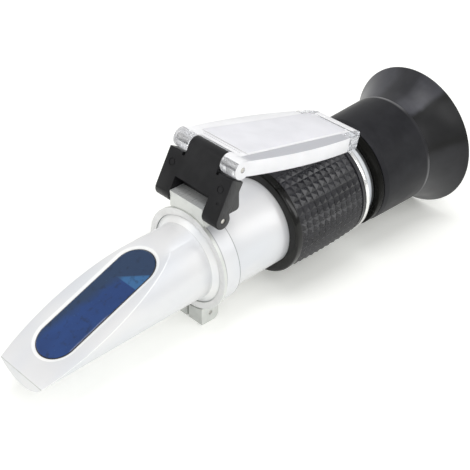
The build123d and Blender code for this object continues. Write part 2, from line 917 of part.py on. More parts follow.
# ---- the whole instrument ---------------------------------------------------------------------
def make_pieces():
    """Every piece in its own node, about the optical axis."""
    makers = [
        make_prism_housing,
        make_main_prism,
        make_prism_seal,
        make_hinge_collar,
        make_collar_clamp_screw,
        make_hinge_bracket,
        make_lower_hinge_pin,
        make_upper_hinge_pin,
        make_daylight_plate,
        make_main_barrel,
        make_front_trim_ring,
        make_grip_sleeve,
        make_rear_ring,
        make_calibration_bush,
        make_calibration_screw,
        make_lens_carrier,
        make_carrier_spring,
        make_bimetal_strip,
        make_strip_screw,
        make_lens_cell,
        make_objective_lens,
        make_objective_retainer,
        make_field_stop,
        make_reticle_holder,
        make_reticle_glass,
        make_reticle_ring,
        make_eyepiece_shell,
        make_focus_o_ring,
        make_field_lens,
        make_lens_spacer,
        make_eye_lens,
        make_eyepiece_ring,
        make_eyecup,
    ]
    return {maker.__name__.removeprefix("make_"): maker() for maker in makers}


def bench_place(pieces):
    """Lays the instrument on its lug and eyecup, with the origin at its bottom centre."""
    tilt = Rot(0, -lie, 0)
    box = Compound(children=[tilt * piece for piece in pieces]).bounding_box()
    return Pos(-(box.min.X + box.max.X) / 2, 0, -box.min.Z) * tilt


def main():
    os.makedirs("parts", exist_ok=True)
    pieces = make_pieces()
    place = bench_place(pieces.values())
    for name, piece in pieces.items():
        export_step(place * piece, f"parts/{name}.step")


main()
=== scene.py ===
"""Handheld prism refractometer: finished surfaces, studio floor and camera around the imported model.

Pieces are modelled about the tube's optical axis: X runs along the tube towards the eye, Z is up
and x = 0 is the front face of the trim ring. BENCH then lays them down as the instrument lies.
"""

import contextlib
import json
import math

import bmesh
import bpy
from mathutils import Matrix, Vector


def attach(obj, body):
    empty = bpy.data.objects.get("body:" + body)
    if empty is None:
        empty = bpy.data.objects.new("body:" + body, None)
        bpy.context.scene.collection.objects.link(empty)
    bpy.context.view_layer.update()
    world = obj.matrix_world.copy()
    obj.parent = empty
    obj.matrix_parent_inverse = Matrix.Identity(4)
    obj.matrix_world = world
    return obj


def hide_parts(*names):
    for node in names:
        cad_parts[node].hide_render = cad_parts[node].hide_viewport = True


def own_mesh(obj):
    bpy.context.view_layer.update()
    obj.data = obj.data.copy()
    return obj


bl_info = {
    "name": "Prism Refractometer",
    "version": (1, 0, 0),
    "blender": (4, 5, 0),
    "location": "View3D > Sidebar > Refractometer",
    "description": "Builds the finished pieces of a handheld prism refractometer",
    "category": "Object",
}

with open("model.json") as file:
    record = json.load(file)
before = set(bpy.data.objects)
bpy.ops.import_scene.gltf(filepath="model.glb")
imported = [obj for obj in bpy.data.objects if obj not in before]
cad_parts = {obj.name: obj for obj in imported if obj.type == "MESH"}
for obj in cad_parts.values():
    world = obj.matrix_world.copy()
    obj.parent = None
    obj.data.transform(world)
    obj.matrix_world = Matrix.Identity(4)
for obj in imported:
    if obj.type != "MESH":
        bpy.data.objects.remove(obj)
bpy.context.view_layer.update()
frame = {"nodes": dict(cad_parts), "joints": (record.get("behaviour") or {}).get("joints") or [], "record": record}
JOINTS = {joint["name"]: joint for joint in frame["joints"]}

MM = 0.001
FIT_GAP = 0.02 * MM  # between faces that sit together
OVERCUT = 1 * MM  # how far a cutter reaches past what it cuts
PIERCE = 14 * MM  # half the length of a rod that cuts through the bracket or the plate
ROUND_STEPS = 192  # facets around the tube
ON_AXIS = 1e-7  # a smaller radius is none
WELD = 0.002 * MM  # vertices nearer than this are one
STRAIGHT = math.radians(0.5)  # an edge that turns by less is none

LOWER_PIN = Vector((-25.5, 0, 18.45)) * MM  # in the collar's boss
PIN_LINE_LEAN = math.radians(60.2)  # from the tube to the line of the pins, bracket open
PLATE_SLOPE = math.radians(14.5)  # from the tube down to the open plate

# lines on the slanted face, along it and across, that part the prism's deep blue from painted reflections of its
# inner faces
PRISM_FAR_SIDE = ((10 * MM, 5.2 * MM), (37 * MM, 0.9 * MM))
PRISM_TOP = ((37.2 * MM, 1.4 * MM), (42.9 * MM, -6.2 * MM))
PRISM_FACET = ((37.2 * MM, 4 * MM), (37.2 * MM, -8 * MM))
ACRYLIC_IOR = 1.49
LIGHT_THROUGH = 0.97  # share of the lamps' light that clear plastic lets through

# grey levels at places from 0 to 1: of the studio, from below to above
SOFT_LEVEL = 0.60  # where nothing mirrors it
BAND_STOPS = (
    (0.0, 0.70), (0.45, 0.74), (0.52, 0.56), (0.66, 0.66), (0.80, 0.84), (0.92, 0.62),
    (1.0, 0.66),
)
# and of the eyecup's flare, its dark smears with painted highlights and sheen, and of the painted glints on its
# waist bead, once around from below
FLARE_SMEARS_AND_HIGHLIGHTS = (
    (0.0, 1.0), (0.20, 1.0), (0.288, 0.9), (0.308, 0.05), (0.33, 0.30), (0.395, 0.35),
    (0.412, 0.10), (0.430, 3.4), (0.465, 2.8), (0.495, 1.4), (0.53, 1.2), (0.57, 3.4),
    (1.0, 1.0),
)
WAIST_GLINTS = (
    (0.0, 0.0), (0.16, 0.1), (0.22, 0.8), (0.27, 0.5), (0.31, 0.0), (0.42, 0.05),
    (0.47, 0.6), (0.53, 1.0), (0.60, 0.5), (1.0, 0.0),
)


def bench_matrix():
    """The tube's own axes to the bench, from the focusing slide and the bracket's hinge."""
    along = Vector(JOINTS["focus_travel"]["axis"])
    turn = Vector((1, 0, 0)).rotation_difference(along).to_matrix()
    shift = Vector(JOINTS["bracket_hinge"]["pos_m"]) - turn @ LOWER_PIN
    return Matrix.Translation(shift) @ turn.to_4x4()


BENCH = bench_matrix()


# ---- properties ---------------------------------------------------------------------------------
def length(name, description, millimetres):
    """A length that a user can change."""
    return bpy.props.FloatProperty(
        name=name, description=description, default=millimetres * MM, unit="LENGTH", precision=5
    )


def angle(name, description, degrees):
    """An angle that a user can change."""
    return bpy.props.FloatProperty(
        name=name, description=description, default=math.radians(degrees), unit="ROTATION"
    )


def colour(name, description, red, green, blue):
    """A finish's colour that a user can change."""
    return bpy.props.FloatVectorProperty(
        name=name,
        description=description,
        default=(red, green, blue),
        size=3,
        min=0.0,
        max=1.0,
        subtype="COLOR",
    )


class HeadSizes(bpy.types.PropertyGroup):
    """Prism head and its window."""

    tip: length("Tip", "Where the head begins, along the tube", -87.14)
    radius: length("Radius", "Radius of the head", 11.8)
    rear: length("Rear", "Where the cone up to the collar begins", -29.15)
    shoulder_rear: length("Cone end", "Where the cone meets the collar", -27.72)
    shoulder_radius: length("Cone radius", "Radius at the end of the cone", 13.75)
    slant: angle("Slant", "Slope of the prism's face to the tube", 20.06)
    slant_height: length("Slant height", "Height of the slanted face at the tip", -7.2946)
    window_start: length("Window start", "Along the slanted face, from its lower edge", 7.0)
    window_end: length("Window end", "Along the slanted face, from its lower edge", 48.72)
    window_half: length("Window half width", "Half the width of the window", 6.6)
    window_bevel: length("Window bevel", "Width of the bright bevel round the window", 1.0)
    bevel_depth: length("Bevel depth", "Depth of the bevel round the window", 0.25)
    pocket_depth: length("Pocket depth", "Depth of the pocket's wall", 1.2)
    spigot_bore: length("Spigot bore", "Radius of the opening behind the cone", 12.0)
    light_bore: length("Light bore", "Radius of the light's way into the head", 9.0)
    edge: length("Edge", "Rounding of the head's edges", 0.28)


class PrismSizes(bpy.types.PropertyGroup):
    """Prism in its window, and the seal around it."""

    gap: length("Gap", "From the window's wall to the prism", 0.27)
    edge: length("Edge", "Width of the prism's polished edge", 0.18)
    edge_depth: length("Edge depth", "Depth of that edge", 0.14)
    foot: length("Foot", "Where the prism's wall ends, below the slanted face", 1.15)
    seal_gap: length("Seal gap", "From the window's wall to the seal", 0.02)
    seal_inner: length("Seal inside", "From the window's wall to the seal's inner face", 0.24)
    seal_top: length("Seal top", "Seal's inner edge below the slanted face", 0.16)
    seal_outer_top: length("Seal outside", "Seal's outer edge below the slanted face", 0.27)
    seal_foot: length("Seal foot", "Where the seal ends, below the slanted face", 1.12)


class CollarSizes(bpy.types.PropertyGroup):
    """Split clamp ring with its boss and its lug."""

    front: length("Front", "Front face of the lip", -28.0)
    rear: length("Rear", "Rear face of the ring", -21.2)
    bore: length("Bore", "Radius of the bore", 14.02)
    lip_radius: length("Lip radius", "Radius of the lip", 16.1)
    lip_width: length("Lip width", "Width of the lip", 1.0)
    band_radius: length("Band radius", "Radius of the ring behind the lip", 15.45)
    boss_front: length("Boss front", "Front face of the hinge boss", -27.67)
    boss_half: length("Boss half width", "Half the width of the boss", 6.87)
    boss_top: length("Boss top", "Height of the boss", 20.33)
    lug_front: length("Lug front", "Front face of the lug", -28.2)
    lug_rear: length("Lug rear", "Rear face of the lug", -21.6)
    lug_half: length("Lug half width", "Half the width of the lug", 6.3)
    lug_bottom: length("Lug bottom", "How far the lug reaches down", 21.2)
    lug_heel: length("Lug heel", "Rounding under the lug's rear face", 2.2)
    slit: length("Slit", "Width of the clamping slit", 1.1)
    groove: length("Groove", "Relief between the lug and the lip", 0.4)
    groove_depth: length("Groove depth", "Depth of that relief", 0.6)
    screw_setback: length("Screw setback", "Clamp screw behind the lug's front", 3.5)
    screw_drop: length("Screw drop", "Clamp screw below the axis", 18.15)
    screw_hole: length("Screw hole", "Radius of the tapped hole", 0.72)
    head_radius: length("Screw head", "Radius of the screw's head", 1.3)
    head_sink: length("Head sink", "Screw head below the lug's side", 0.4)
    head_height: length("Head height", "Height of the screw's head", 1.2)
    edge: length("Edge", "Rounding of the collar's edges", 0.32)


class HingeSizes(bpy.types.PropertyGroup):
    """Black bracket between the collar's boss and the daylight plate."""

    pin_spacing: length("Pin spacing", "From the lower to the upper pin", 15.25)
    pin_radius: length("Pin radius", "Radius of both pins", 0.8)
    front: length("Front", "Front face out from the line of the pins", 2.65)
    back: length("Back", "Back face behind that line", 2.0)
    half_width: length("Half width", "Half the bracket's width", 12.9)
    leg_inner: length("Leg inside", "Inner face of each leg", 7.0)
    tongue_half: length("Tongue half width", "Half the tongue's width", 6.5)
    wing_top: length("Wing top", "Top of the wings along the line of the pins", 12.1)
    web_start: length("Web start", "Underside of the web along that line", 4.9)
    web_step: length("Web step", "Where the underside steps down to the boss", -0.5)
    web_rest: length("Web rest", "Height of the step over the boss", 20.38)
    heel_reach: length("Heel reach", "Heel behind the lower pin", 6.2)
    heel_rise: length("Heel rise", "Heel above the lower pin", 1.3)
    heel_round: length("Heel rounding", "Rounding of the heel", 1.2)
    edge: length("Edge", "Rounding of the bracket's edges", 0.32)
    pin_sink: length("Pin sink", "Lower pin's ends behind the outer faces", 0.1)
    upper_pin_half: length("Upper pin", "Half the length of the upper pin", 12.65)
    mark_height: length("Mark height", "Round moulding marks along the line of the pins", 8.1)
    mark_aside: length("Mark offset", "Round moulding marks from the middle", 10.0)
    mark_radius: length("Mark radius", "Radius of the round moulding marks", 1.15)
    mark_depth: length("Mark depth", "Depth of the groove round each mark", 0.18)
    mark_groove: length("Mark groove", "Width of the groove round each mark", 0.22)
    dimple_height: length("Dimple height", "Small dimple along the line of the pins", 4.2)
    dimple_aside: length("Dimple offset", "Small dimple from the middle", 10.8)
    dimple_radius: length("Dimple radius", "Radius of the small dimple", 0.45)
    corner_notch: length("Corner notch", "Relief beside the tongue, in the top of each wing", 1.0)


class PlateSizes(bpy.types.PropertyGroup):
    """Clear daylight plate, measured from its hinge pin along the open plate."""

    length: length("Length", "From the pin to the free end", 54.6)
    hinge_half: length("Hinge half width", "Half the width at the pin", 12.6)
    belly: length("Belly", "Where the plate is widest", 25.0)
    belly_half: length("Belly half width", "Half the greatest width", 13.6)
    shoulder: length("Shoulder", "Where the free corners begin", 52.3)
    shoulder_half: length("Shoulder half width", "Half the width there", 10.5)
    end_half: length("End half width", "Half the width of the free end", 8.9)
    corner_round: length("Corner", "Rounding of the corners", 0.8)
    pad_face: length("Pad face", "Pad's face above the pin", 2.96)
    pad_raise: length("Pad raise", "Pad above the rim's face", 0.5)
    rim_depth: length("Rim depth", "Depth of the rim", 4.7)
    panel: length("Panel", "Thickness of the panel", 2.5)
    clear_from: length("Clear end", "Where the rim turns from milky to clear, from the pin", 46.6)
    pad_start: length("Pad start", "Pad's edge at the hinge", 4.6)
    pad_end: length("Pad end", "Pad's edge at the free end", 50.0)
    pad_start_half: length("Pad start half width", "Half the pad's width at the hinge", 9.3)
    pad_end_half: length("Pad end half width", "Half the pad's width at the free end", 7.7)
    pad_corner: length("Pad corner", "Rounding of the pad's free corners", 2.0)
    knuckle_radius: length("Knuckle radius", "Radius of both knuckles", 3.0)
    knuckle_inner: length("Knuckle inside", "Inner face of each knuckle", 6.6)
    knuckle_outer: length("Knuckle outside", "Outer face of each knuckle", 12.75)
    relief: length("Relief", "Clearance cut round the tongue", 3.15)
    ridge_at: length("Hinge ridge", "Fine ridge beside the hinge, from the pin", 3.7)
    ridge_half: length("Hinge ridge half width", "Half the length of that ridge", 7.6)
    end_ridge_at: length("End ridge", "Fine ridge at the free end, from the pin", 51.3)
    end_ridge_half: length("End ridge half width", "Half the length of that ridge", 8.6)
    ridge_width: length("Ridge width", "Width of both ridges", 0.45)
    ridge_height: length("Ridge height", "Height of both ridges over the rim", 0.22)
    grip_relief: length("Grip relief", "Radius cut to clear the grip", 17.85)
    bore: length("Bore", "Radius of the pin's bore", 0.85)
    edge: length("Edge", "Rounding of the plate's edges", 0.25)


class TubeSizes(bpy.types.PropertyGroup):
    """Main tube, trim ring, grip and bright ring."""

    radius: length("Tube radius", "Radius of the bare tube", 14.0)
    bore: length("Tube bore", "Radius of the tube's bore", 12.75)
    seat: length("Grip seat", "Radius of the seat under the grip", 15.4)
    front: length("Tube front", "Front end of the tube", -27.68)
    rear_bore: length("Rear bore", "Radius of the bore around the bright ring's spigot", 13.59)
    rear_bore_front: length("Rear bore front", "Front end of that bore", 22.9)
    bush_hole: length("Bush hole", "Radius of the hole for the calibration bush", 2.82)
    trim_width: length("Trim width", "Width of the trim ring", 2.48)
    trim_radius: length("Trim radius", "Radius of the trim ring", 17.2)
    trim_round: length("Trim rounding", "Rounding of the ring's front edge", 0.8)
    grip_front: length("Grip front", "Front end of the grip", 2.52)
    grip_rear: length("Grip rear", "Rear end of the grip", 30.91)
    grip_end: length("Grip end radius", "Radius at the ends of the grip", 17.2)
    grip_crown: length("Grip crown radius", "Radius at the middle of the grip", 17.6)
    knurl_around: bpy.props.IntProperty(
        name="Knurl around", description="Pyramids in one ring of the grip", default=45, min=12
    )
    knurl_rings: bpy.props.IntProperty(
        name="Knurl rings", description="Rings of pyramids along the grip", default=11, min=2
    )
    knurl_height: length("Knurl height", "Height of the pyramids", 0.55)
    knurl_blunt: length("Knurl tip", "Width of each pyramid's blunt tip", 0.30)
    knurl_margin: length("Front margin", "Plain rubber in front of the knurl", 0.45)
    knurl_rear_margin: length("Rear margin", "Plain rubber behind the knurl", 1.35)
    spigot_front: length("Spigot front", "Front end of the bright ring's spigot", 22.93)
    spigot_radius: length("Spigot radius", "Radius of the spigot", 13.57)
    lip_front: length("Lip front", "Front face of the bright lip", 30.93)
    lip_rear: length("Lip rear", "Rear face of the bright lip", 32.3)
    lip_radius: length("Lip radius", "Radius of the bright lip", 17.3)
    neck_radius: length("Neck radius", "Radius of the bright neck", 15.2)
    neck_rear: length("Neck rear", "Rear end of the neck", 52.0)
    neck_bore: length("Neck bore", "Radius inside the neck", 12.0)
    calibration_x: length("Calibration", "Calibration screw, along the tube", -12.8)
    carrier_radius: length("Carrier radius", "Radius of the lens carrier over its spring", 12.0)
    spring_span: length("Spring span", "Length of the leaf spring along the tube", 5.6)
    spring_foot: length("Spring foot", "Flat end of the leaf spring", 0.4)
    spring_width: length("Spring width", "Width of the leaf spring", 4.0)
    spring_leaf: length("Spring leaf", "Thickness of the leaf spring", 0.15)
    spring_gap: length("Spring gap", "Between the spring and what it touches", 0.02)


class EyepieceSizes(bpy.types.PropertyGroup):
    """Focusing ring and eyecup."""

    bead_front: length("Bead front", "Front face of the black bead", 36.2)
    bead_rear: length("Bead rear", "Rear face of the black bead", 39.36)
    bead_radius: length("Bead radius", "Radius of the bead", 17.3)
    bead_round: length("Bead rounding", "Rounding of the bead's edges", 0.6)
    shell_radius: length("Shell radius", "Radius of the shell in the eyecup", 16.4)
    shell_bore: length("Shell bore", "Radius of the shell's bore", 15.25)
    shell_rear: length("Shell rear", "Rear end of the shell", 59.4)
    lens_radius: length("Lens seat", "Radius of the lens seat", 10.02)
    lens_tube: length("Lens tube", "Radius of the tube around the lenses", 11.9)
    stop_front: length("Stop front", "Front face of the stop before the lenses", 46.0)
    stop_rear: length("Stop rear", "Rear face of the stop", 47.0)
    stop_radius: length("Stop radius", "Radius of the light's way through the stop", 9.0)
    slot_end: length("Slot end", "End of the slot that the neck runs in", 55.4)
    sleeve_front: length("Sleeve front radius", "Radius at the sleeve's front", 17.3)
    chamfer: length("Chamfer", "Length of the sleeve's chamfer", 1.9)
    sleeve_radius: length("Sleeve radius", "Radius behind the chamfer", 17.6)
    waist: length("Waist", "Where the cup flares out", 60.56)
    waist_radius: length("Waist radius", "Radius at the waist", 18.1)
    waist_bead: length("Waist bead", "Width of the bead moulded round the waist", 1.4)
    waist_step: length("Waist step", "How far the flare starts inside the bead", 0.28)
    rim: length("Rim", "Rear edge of the cup", 73.66)
    rim_radius: length("Rim radius", "Radius of the cup's edge", 23.9)
    rim_width: length("Rim width", "Thickness of the cup's edge", 1.2)
    rim_round: length("Rim rounding", "Rounding of the cup's edge", 0.25)
    hollow: length("Flare hollow", "How far the flare bows in", 1.0)
    throat: length("Throat", "Radius at the bottom of the cup", 16.3)
    neck: length("Inner lip", "Radius of the cup's inner lip", 13.6)
    lip_thickness: length("Lip thickness", "Thickness of the inner lip", 1.3)


class FinishColours(bpy.types.PropertyGroup):
    """Colours of the finishes."""

    satin: colour("Satin aluminium", "Head and tube", 0.82, 0.82, 0.825)
    # bevel also gives the painted highlight on rounded edges of the head and collar
    bevel: colour("Window bevel", "Bright bevel round the prism", 0.97, 0.97, 0.95)
    cone: colour("Cone", "Bright turned cone in front of the collar", 0.93, 0.93, 0.92)
    neck: colour("Bright neck", "Neck that the eyepiece runs on", 0.88, 0.91, 0.94)
    blasted: colour("Blasted aluminium", "Collar", 0.74, 0.755, 0.725)
    lip: colour("Collar lip", "Paler front face of the collar's lip", 0.82, 0.82, 0.815)
    boss: colour("Boss top", "Milled top of the hinge boss", 0.76, 0.765, 0.75)
    bright: colour("Bright aluminium", "Turned ring", 0.88, 0.88, 0.87)
    prism: colour("Prism", "Deep blue of the prism", 0.010, 0.040, 0.155)
    # slate and facet are painted reflections of the prism's inner faces
    slate: colour("Prism slate", "Greyer blue at the prism's upper end", 0.017, 0.042, 0.100)
    facet: colour("Prism facet", "Lighter blue of the prism's inner facet", 0.034, 0.130, 0.300)
    bracket: colour("Bracket", "Black moulding of the hinge", 0.009, 0.009, 0.010)
    gloss: colour("Gloss black", "Trim ring and bead", 0.005, 0.005, 0.0042)
    rubber: colour("Grip", "Knurled rubber", 0.012, 0.012, 0.015)
    eyecup: colour("Eyecup", "Soft rubber", 0.013, 0.0132, 0.0158)
    # painted glint: the lighter colour laid along the crest of the waist bead
    waist: colour("Waist bead", "Pale crest of the bead at the waist", 0.19, 0.19, 0.195)
    frost: colour("Frosted panel", "Milky face of the daylight plate", 0.84, 0.84, 0.875)
    land: colour("Land", "Shaded land beside the pad of the daylight plate", 0.50, 0.505, 0.535)
    milk: colour("Frosted rim", "Milky side walls of the daylight plate", 0.975, 0.975, 0.99)
    floor: colour("Floor", "Pale studio floor", 0.93, 0.94, 0.93)


class StageSizes(bpy.types.PropertyGroup):
    """Camera, lamps and floor."""

    azimuth: angle("Camera azimuth", "Camera's turn about the tube's vertical", -43.586)
    elevation: angle("Camera elevation", "Camera above the tube's level", 35.67)
    distance: length("Camera distance", "From the camera to its target", 351.483)
    target: bpy.props.FloatVectorProperty(
        name="Camera target",
        description="Point of the tube's own frame that the camera looks at",
        default=(-9.763 * MM, -1.081 * MM, 0.0),
        unit="LENGTH",
        precision=5,
    )
    lens: bpy.props.FloatProperty(
        name="Lens", description="Focal length in millimetres", default=90.59, min=1.0
    )


def settings():
    """The sizes and colours in the panel."""
    return bpy.context.scene.refractometer


# ---- outlines and meshes ------------------------------------------------------------------------
def rounded(points, radii, steps=4):
    """A closed outline with its corners rounded; a radius of 0 keeps its corner sharp."""
    outline = []
    for index, (point, radius) in enumerate(zip(points, radii)):
        corner = Vector(point)
        if radius == 0:
            outline.append(corner)
            continue
        before = (Vector(points[index - 1]) - corner).normalized()
        after = (Vector(points[(index + 1) % len(points)]) - corner).normalized()
        half = before.angle(after) / 2
        centre = corner + (before + after).normalized() * radius / math.sin(half)
        start = corner + before * radius / math.tan(half) - centre
        end = corner + after * radius / math.tan(half) - centre
        sweep = math.atan2(start.x * end.y - start.y * end.x, start.dot(end))
        for step in range(steps + 1):
            outline.append(centre + Matrix.Rotation(sweep * step / steps, 2) @ start)
    return outline


def arc(start, through, end, steps):
    """Points on the circle from start by way of through to end."""
    a, b, c = Vector(start), Vector(through), Vector(end)
    ab, ac = b - a, c - a
    cross = 2 * (ab.x * ac.y - ab.y * ac.x)
    across = ac.y * ab.length_squared - ab.y * ac.length_squared
    up = ab.x * ac.length_squared - ac.x * ab.length_squared
    centre = a + Vector((across, up)) / cross
    first, last = a - centre, c - centre
    sweep = math.atan2(first.x * last.y - first.y * last.x, first.dot(last))
    if sweep * cross < 0:
        sweep += math.copysign(2 * math.pi, cross)
    return [centre + Matrix.Rotation(sweep * step / steps, 2) @ first for step in range(steps + 1)]


def bowed(start, end, hollow, steps=16):
    """Points between two outline points, curved towards the axis by hollow."""
    a, b = Vector(start), Vector(end)
    across = Vector((b.y - a.y, a.x - b.x)).normalized()
    return arc(a, (a + b) / 2 + across * hollow, b, steps)


def rectangle(x_range, y_range):
    """An outline between two corners."""
    (left, right), (low, high) = x_range, y_range
    return [(left, low), (right, low), (right, high), (left, high)]


def stepped(*values):
    """An outline that runs out or in, then along, from x, radius, x, radius and so on."""
    places, radii = values[::2], values[1::2]
    corners = zip(places, radii[-1:] + radii[:-1], radii)
    return [(x, radius) for x, before, after in corners for radius in (before, after)]


def full_turn(steps):
    """Angles once around."""
    return [2 * math.pi * step / steps for step in range(steps)]


def circle(centre, radius, steps=48):
    """A round outline."""
    x, y = centre
    return [(x + radius * math.cos(t), y + radius * math.sin(t)) for t in full_turn(steps)]


def ring(bm, x, radius, turns):
    """Vertices around the tube's axis, at angles from its top towards +Y."""
    return [bm.verts.new((x, radius * math.sin(t), radius * math.cos(t))) for t in turns]


def skin(bm, *loops):
    """Faces between each loop of vertices and the next; a loop of one vertex is a pole."""
    for first, second in zip(loops, loops[1:]):
        count = max(len(first), len(second))
        for index in range(count if count > 1 else 0):
            following = (index + 1) % count
            corners = [
                first[index % len(first)],
                first[following % len(first)],
                second[following % len(second)],
                second[index % len(second)],
            ]
            bm.faces.new(list(dict.fromkeys(corners)))


def piece(name, bm):
    """A new object in the tube's own frame, from bmesh, with clean normals."""
    bmesh.ops.recalc_face_normals(bm, faces=bm.faces[:])
    mesh = bpy.data.meshes.new(name)
    bm.to_mesh(mesh)
    bm.free()
    made = bpy.data.objects.new(name, mesh)
    bpy.context.scene.collection.objects.link(made)
    return made


@contextlib.contextmanager
def edited(made):
    """An object's mesh as bmesh, written back at the end."""
    bm = bmesh.new()
    bm.from_mesh(made.data)
    yield bm
    bm.to_mesh(made.data)
    bm.free()


def revolved(name, outline):
    """A body of revolution about the tube's axis, from a closed outline of (x, radius)."""
    bm = bmesh.new()
    turns = full_turn(ROUND_STEPS)
    loops = [
        [bm.verts.new((x, 0, 0))] if radius < ON_AXIS else ring(bm, x, radius, turns)
        for x, radius in outline
    ]
    skin(bm, *loops, loops[0])
    return piece(name, bm)


def extruded(name, outline, low, high, lift=Matrix.Identity(4)):
    """A flat outline stretched from low to high along its own normal, then placed by lift."""
    bm = bmesh.new()
    bottom = [bm.verts.new(lift @ Vector((p[0], p[1], low))) for p in outline]
    top = [bm.verts.new(lift @ Vector((p[0], p[1], high))) for p in outline]
    bm.faces.new(bottom)
    bm.faces.new(list(reversed(top)))
    skin(bm, bottom, top)
    return piece(name, bm)


SIDE_VIEW = Matrix(((1, 0, 0, 0), (0, 0, -1, 0), (0, 1, 0, 0), (0, 0, 0, 1)))


def cross_body(name, outline, y_half):
    """A side-view outline of (x, z) stretched y_half to both sides."""
    return extruded(name, outline, -y_half, y_half, SIDE_VIEW)


def cross_rod(name, centre, radius, y_from, y_to, steps=48, edge=0.0):
    """A round rod along Y through the side-view point centre."""
    rod = extruded(name, circle(centre, radius, steps), -y_to, -y_from, SIDE_VIEW)
    return soften(rod, edge) if edge else rod


def block(name, x_range, y_range, z_range):
    """A block between two corners."""
    return extruded(name, rectangle(x_range, z_range), -y_range[1], -y_range[0], SIDE_VIEW)


def modified(made, kind, **options):
    """An object with one modifier applied to it."""
    modifier = made.modifiers.new("finishing", kind)
    for name, value in options.items():
        setattr(modifier, name, value)
    graph = bpy.context.evaluated_depsgraph_get()
    graph.update()
    mesh = bpy.data.meshes.new_from_object(made.evaluated_get(graph))
    made.modifiers.clear()
    spent = made.data
    made.data = mesh
    bpy.data.meshes.remove(spent)
    return made


def combined(made, other, operation):
    """An object fused with, or cut by, another, which is used up."""
    modified(made, "BOOLEAN", operation=operation, solver="EXACT", object=other)
    spent = other.data
    bpy.data.objects.remove(other)
    bpy.data.meshes.remove(spent)
    return made


def fuse(made, other):
    """Adds another object, which is used up."""
    return combined(made, other, "UNION")


def cut(made, other):
    """Takes another object away, which is used up."""
    return combined(made, other, "DIFFERENCE")


def bevelled(made, width, limit, steps=3, **options):
    """Rounds the edges that turn by more than limit degrees."""
    options.update(limit_method="ANGLE", angle_limit=math.radians(limit))
    return modified(made, "BEVEL", width=width, segments=steps, **options)


def soften(made, width, steps=3):
    """Rounds the edges, after taking out the ones that don't turn."""
    with edited(made) as bm:
        bmesh.ops.remove_doubles(bm, verts=bm.verts[:], dist=WELD)
        bmesh.ops.dissolve_limit(bm, angle_limit=STRAIGHT, verts=bm.verts[:], edges=bm.edges[:])
    return bevelled(made, width, 30, steps, miter_outer="MITER_ARC", harden_normals=True)


def smooth(made, limit):
    """Smooth shading, with edges over limit degrees kept sharp."""
    with edited(made) as bm:
        for face in bm.faces:
            face.smooth = True
        for edge in bm.edges:
            if len(edge.link_faces) == 2:
                edge.smooth = edge.calc_face_angle(0.0) < math.radians(limit)


def dress(made, body, nodes, slot, finish_of=None, limit=32, weighted=False):
    """Lays a finished piece on the bench, puts it on its body and gives it its finishes.

    finish_of names a face's finish; without it every face has the slot's own. With weighted, the
    large faces lead the shading, so that cuts in a curved face don't show in it.
    """
    names = [finish_of(face) if finish_of else slot for face in made.data.polygons]
    smooth(made, limit)
    if weighted:
        modified(made, "WEIGHTED_NORMAL", keep_sharp=True)
    made.data.transform(BENCH)
    made.data.materials.clear()
    kinds = list(dict.fromkeys(names))
    for kind in kinds:
        made.data.materials.append(finish(kind))
    for face, name in zip(made.data.polygons, names):
        face.material_index = kinds.index(name)
    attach(made, body)
    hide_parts(*nodes)
    return made


# ---- finishes -----------------------------------------------------------------------------------
def node(tree, kind, inputs=None, **options):
    """A shader node; each input is a plain value or the socket that feeds it."""
    made = tree.nodes.new("ShaderNode" + kind)
    for name, value in options.items():
        setattr(made, name, value)
    for name, value in (inputs or {}).items():
        socket = made.inputs[name]
        if isinstance(value, bpy.types.NodeSocket):
            tree.links.new(value, socket)
        else:
            socket.default_value = value
    return made


def maths(tree, operation, first, second=0.0):
    """What a Math node makes of one or two values."""
    return node(tree, "Math", {0: first, 1: second}, operation=operation).outputs[0]


def start_finish(name, base, roughness, metallic=0.0, **sockets):
    """A material with one shader, and its node tree."""
    material = bpy.data.materials.new(name)
    material.use_nodes = True
    shader = material.node_tree.nodes["Principled BSDF"]
    shader.inputs["Base Color"].default_value = (*base, 1)
    shader.inputs["Roughness"].default_value = roughness
    shader.inputs["Metallic"].default_value = metallic
    for socket, value in sockets.items():
        shader.inputs[socket.replace("_", " ")].default_value = value
    return material, material.node_tree, shader


def cloud(tree, size, detail=2.0, stretch=(1, 1, 1)):
    """Soft noise with blotches of one size; a stretch below 1 draws them out along that axis."""
    place = node(tree, "TexCoord").outputs["Object"]
    mapped = node(tree, "Mapping", {"Vector": place, "Scale": stretch}).outputs[0]
    inputs = {"Vector": mapped, "Scale": 1 / size, "Detail": detail}
    return node(tree, "TexNoise", inputs).outputs[0]


def graded(tree, value, low, high, at_low=0.0, at_high=1.0):
    """Turns low..high into at_low..at_high."""
    inputs = {"Value": value, "From Min": low, "From Max": high}
    inputs.update({"To Min": at_low, "To Max": at_high})
    return node(tree, "MapRange", inputs).outputs[0]


def levels(tree, value, stops, interpolation):
    """A grey level that follows a value from 0 to 1 through several stops."""
    ramp = node(tree, "ValToRGB", {"Fac": value})
    ramp.color_ramp.interpolation = interpolation
    elements = ramp.color_ramp.elements
    for element, (spot, level) in zip(elements, (stops[0], stops[-1])):
        element.position = spot
        element.color = (level, level, level, 1)
    for spot, level in stops[1:-1]:
        elements.new(spot).color = (level, level, level, 1)
    return ramp.outputs[0]


def blended(tree, factor, first, second, blend="MIX"):
    """Two colours mixed by a factor; each may be a socket."""
    colours = [c if isinstance(c, bpy.types.NodeSocket) else (*c[:3], 1) for c in (first, second)]
    inputs = {0: factor, 6: colours[0], 7: colours[1]}
    return node(tree, "Mix", inputs, data_type="RGBA", blend_type=blend).outputs[2]


def darker(shade, share):
    """A colour at a share of its brightness."""
    return tuple(channel * share for channel in shade)


def worn(shade, share, lift):
    """A dark colour where handling has made it paler."""
    return tuple(channel * share + lift for channel in shade)


def mottle(tree, shader, value, low, high, first, second, most=1.0):
    """Base colour that runs from first towards second as value runs from low to high."""
    colour = blended(tree, graded(tree, value, low, high, 0.0, most), first, second)
    tree.links.new(colour, shader.inputs["Base Color"])


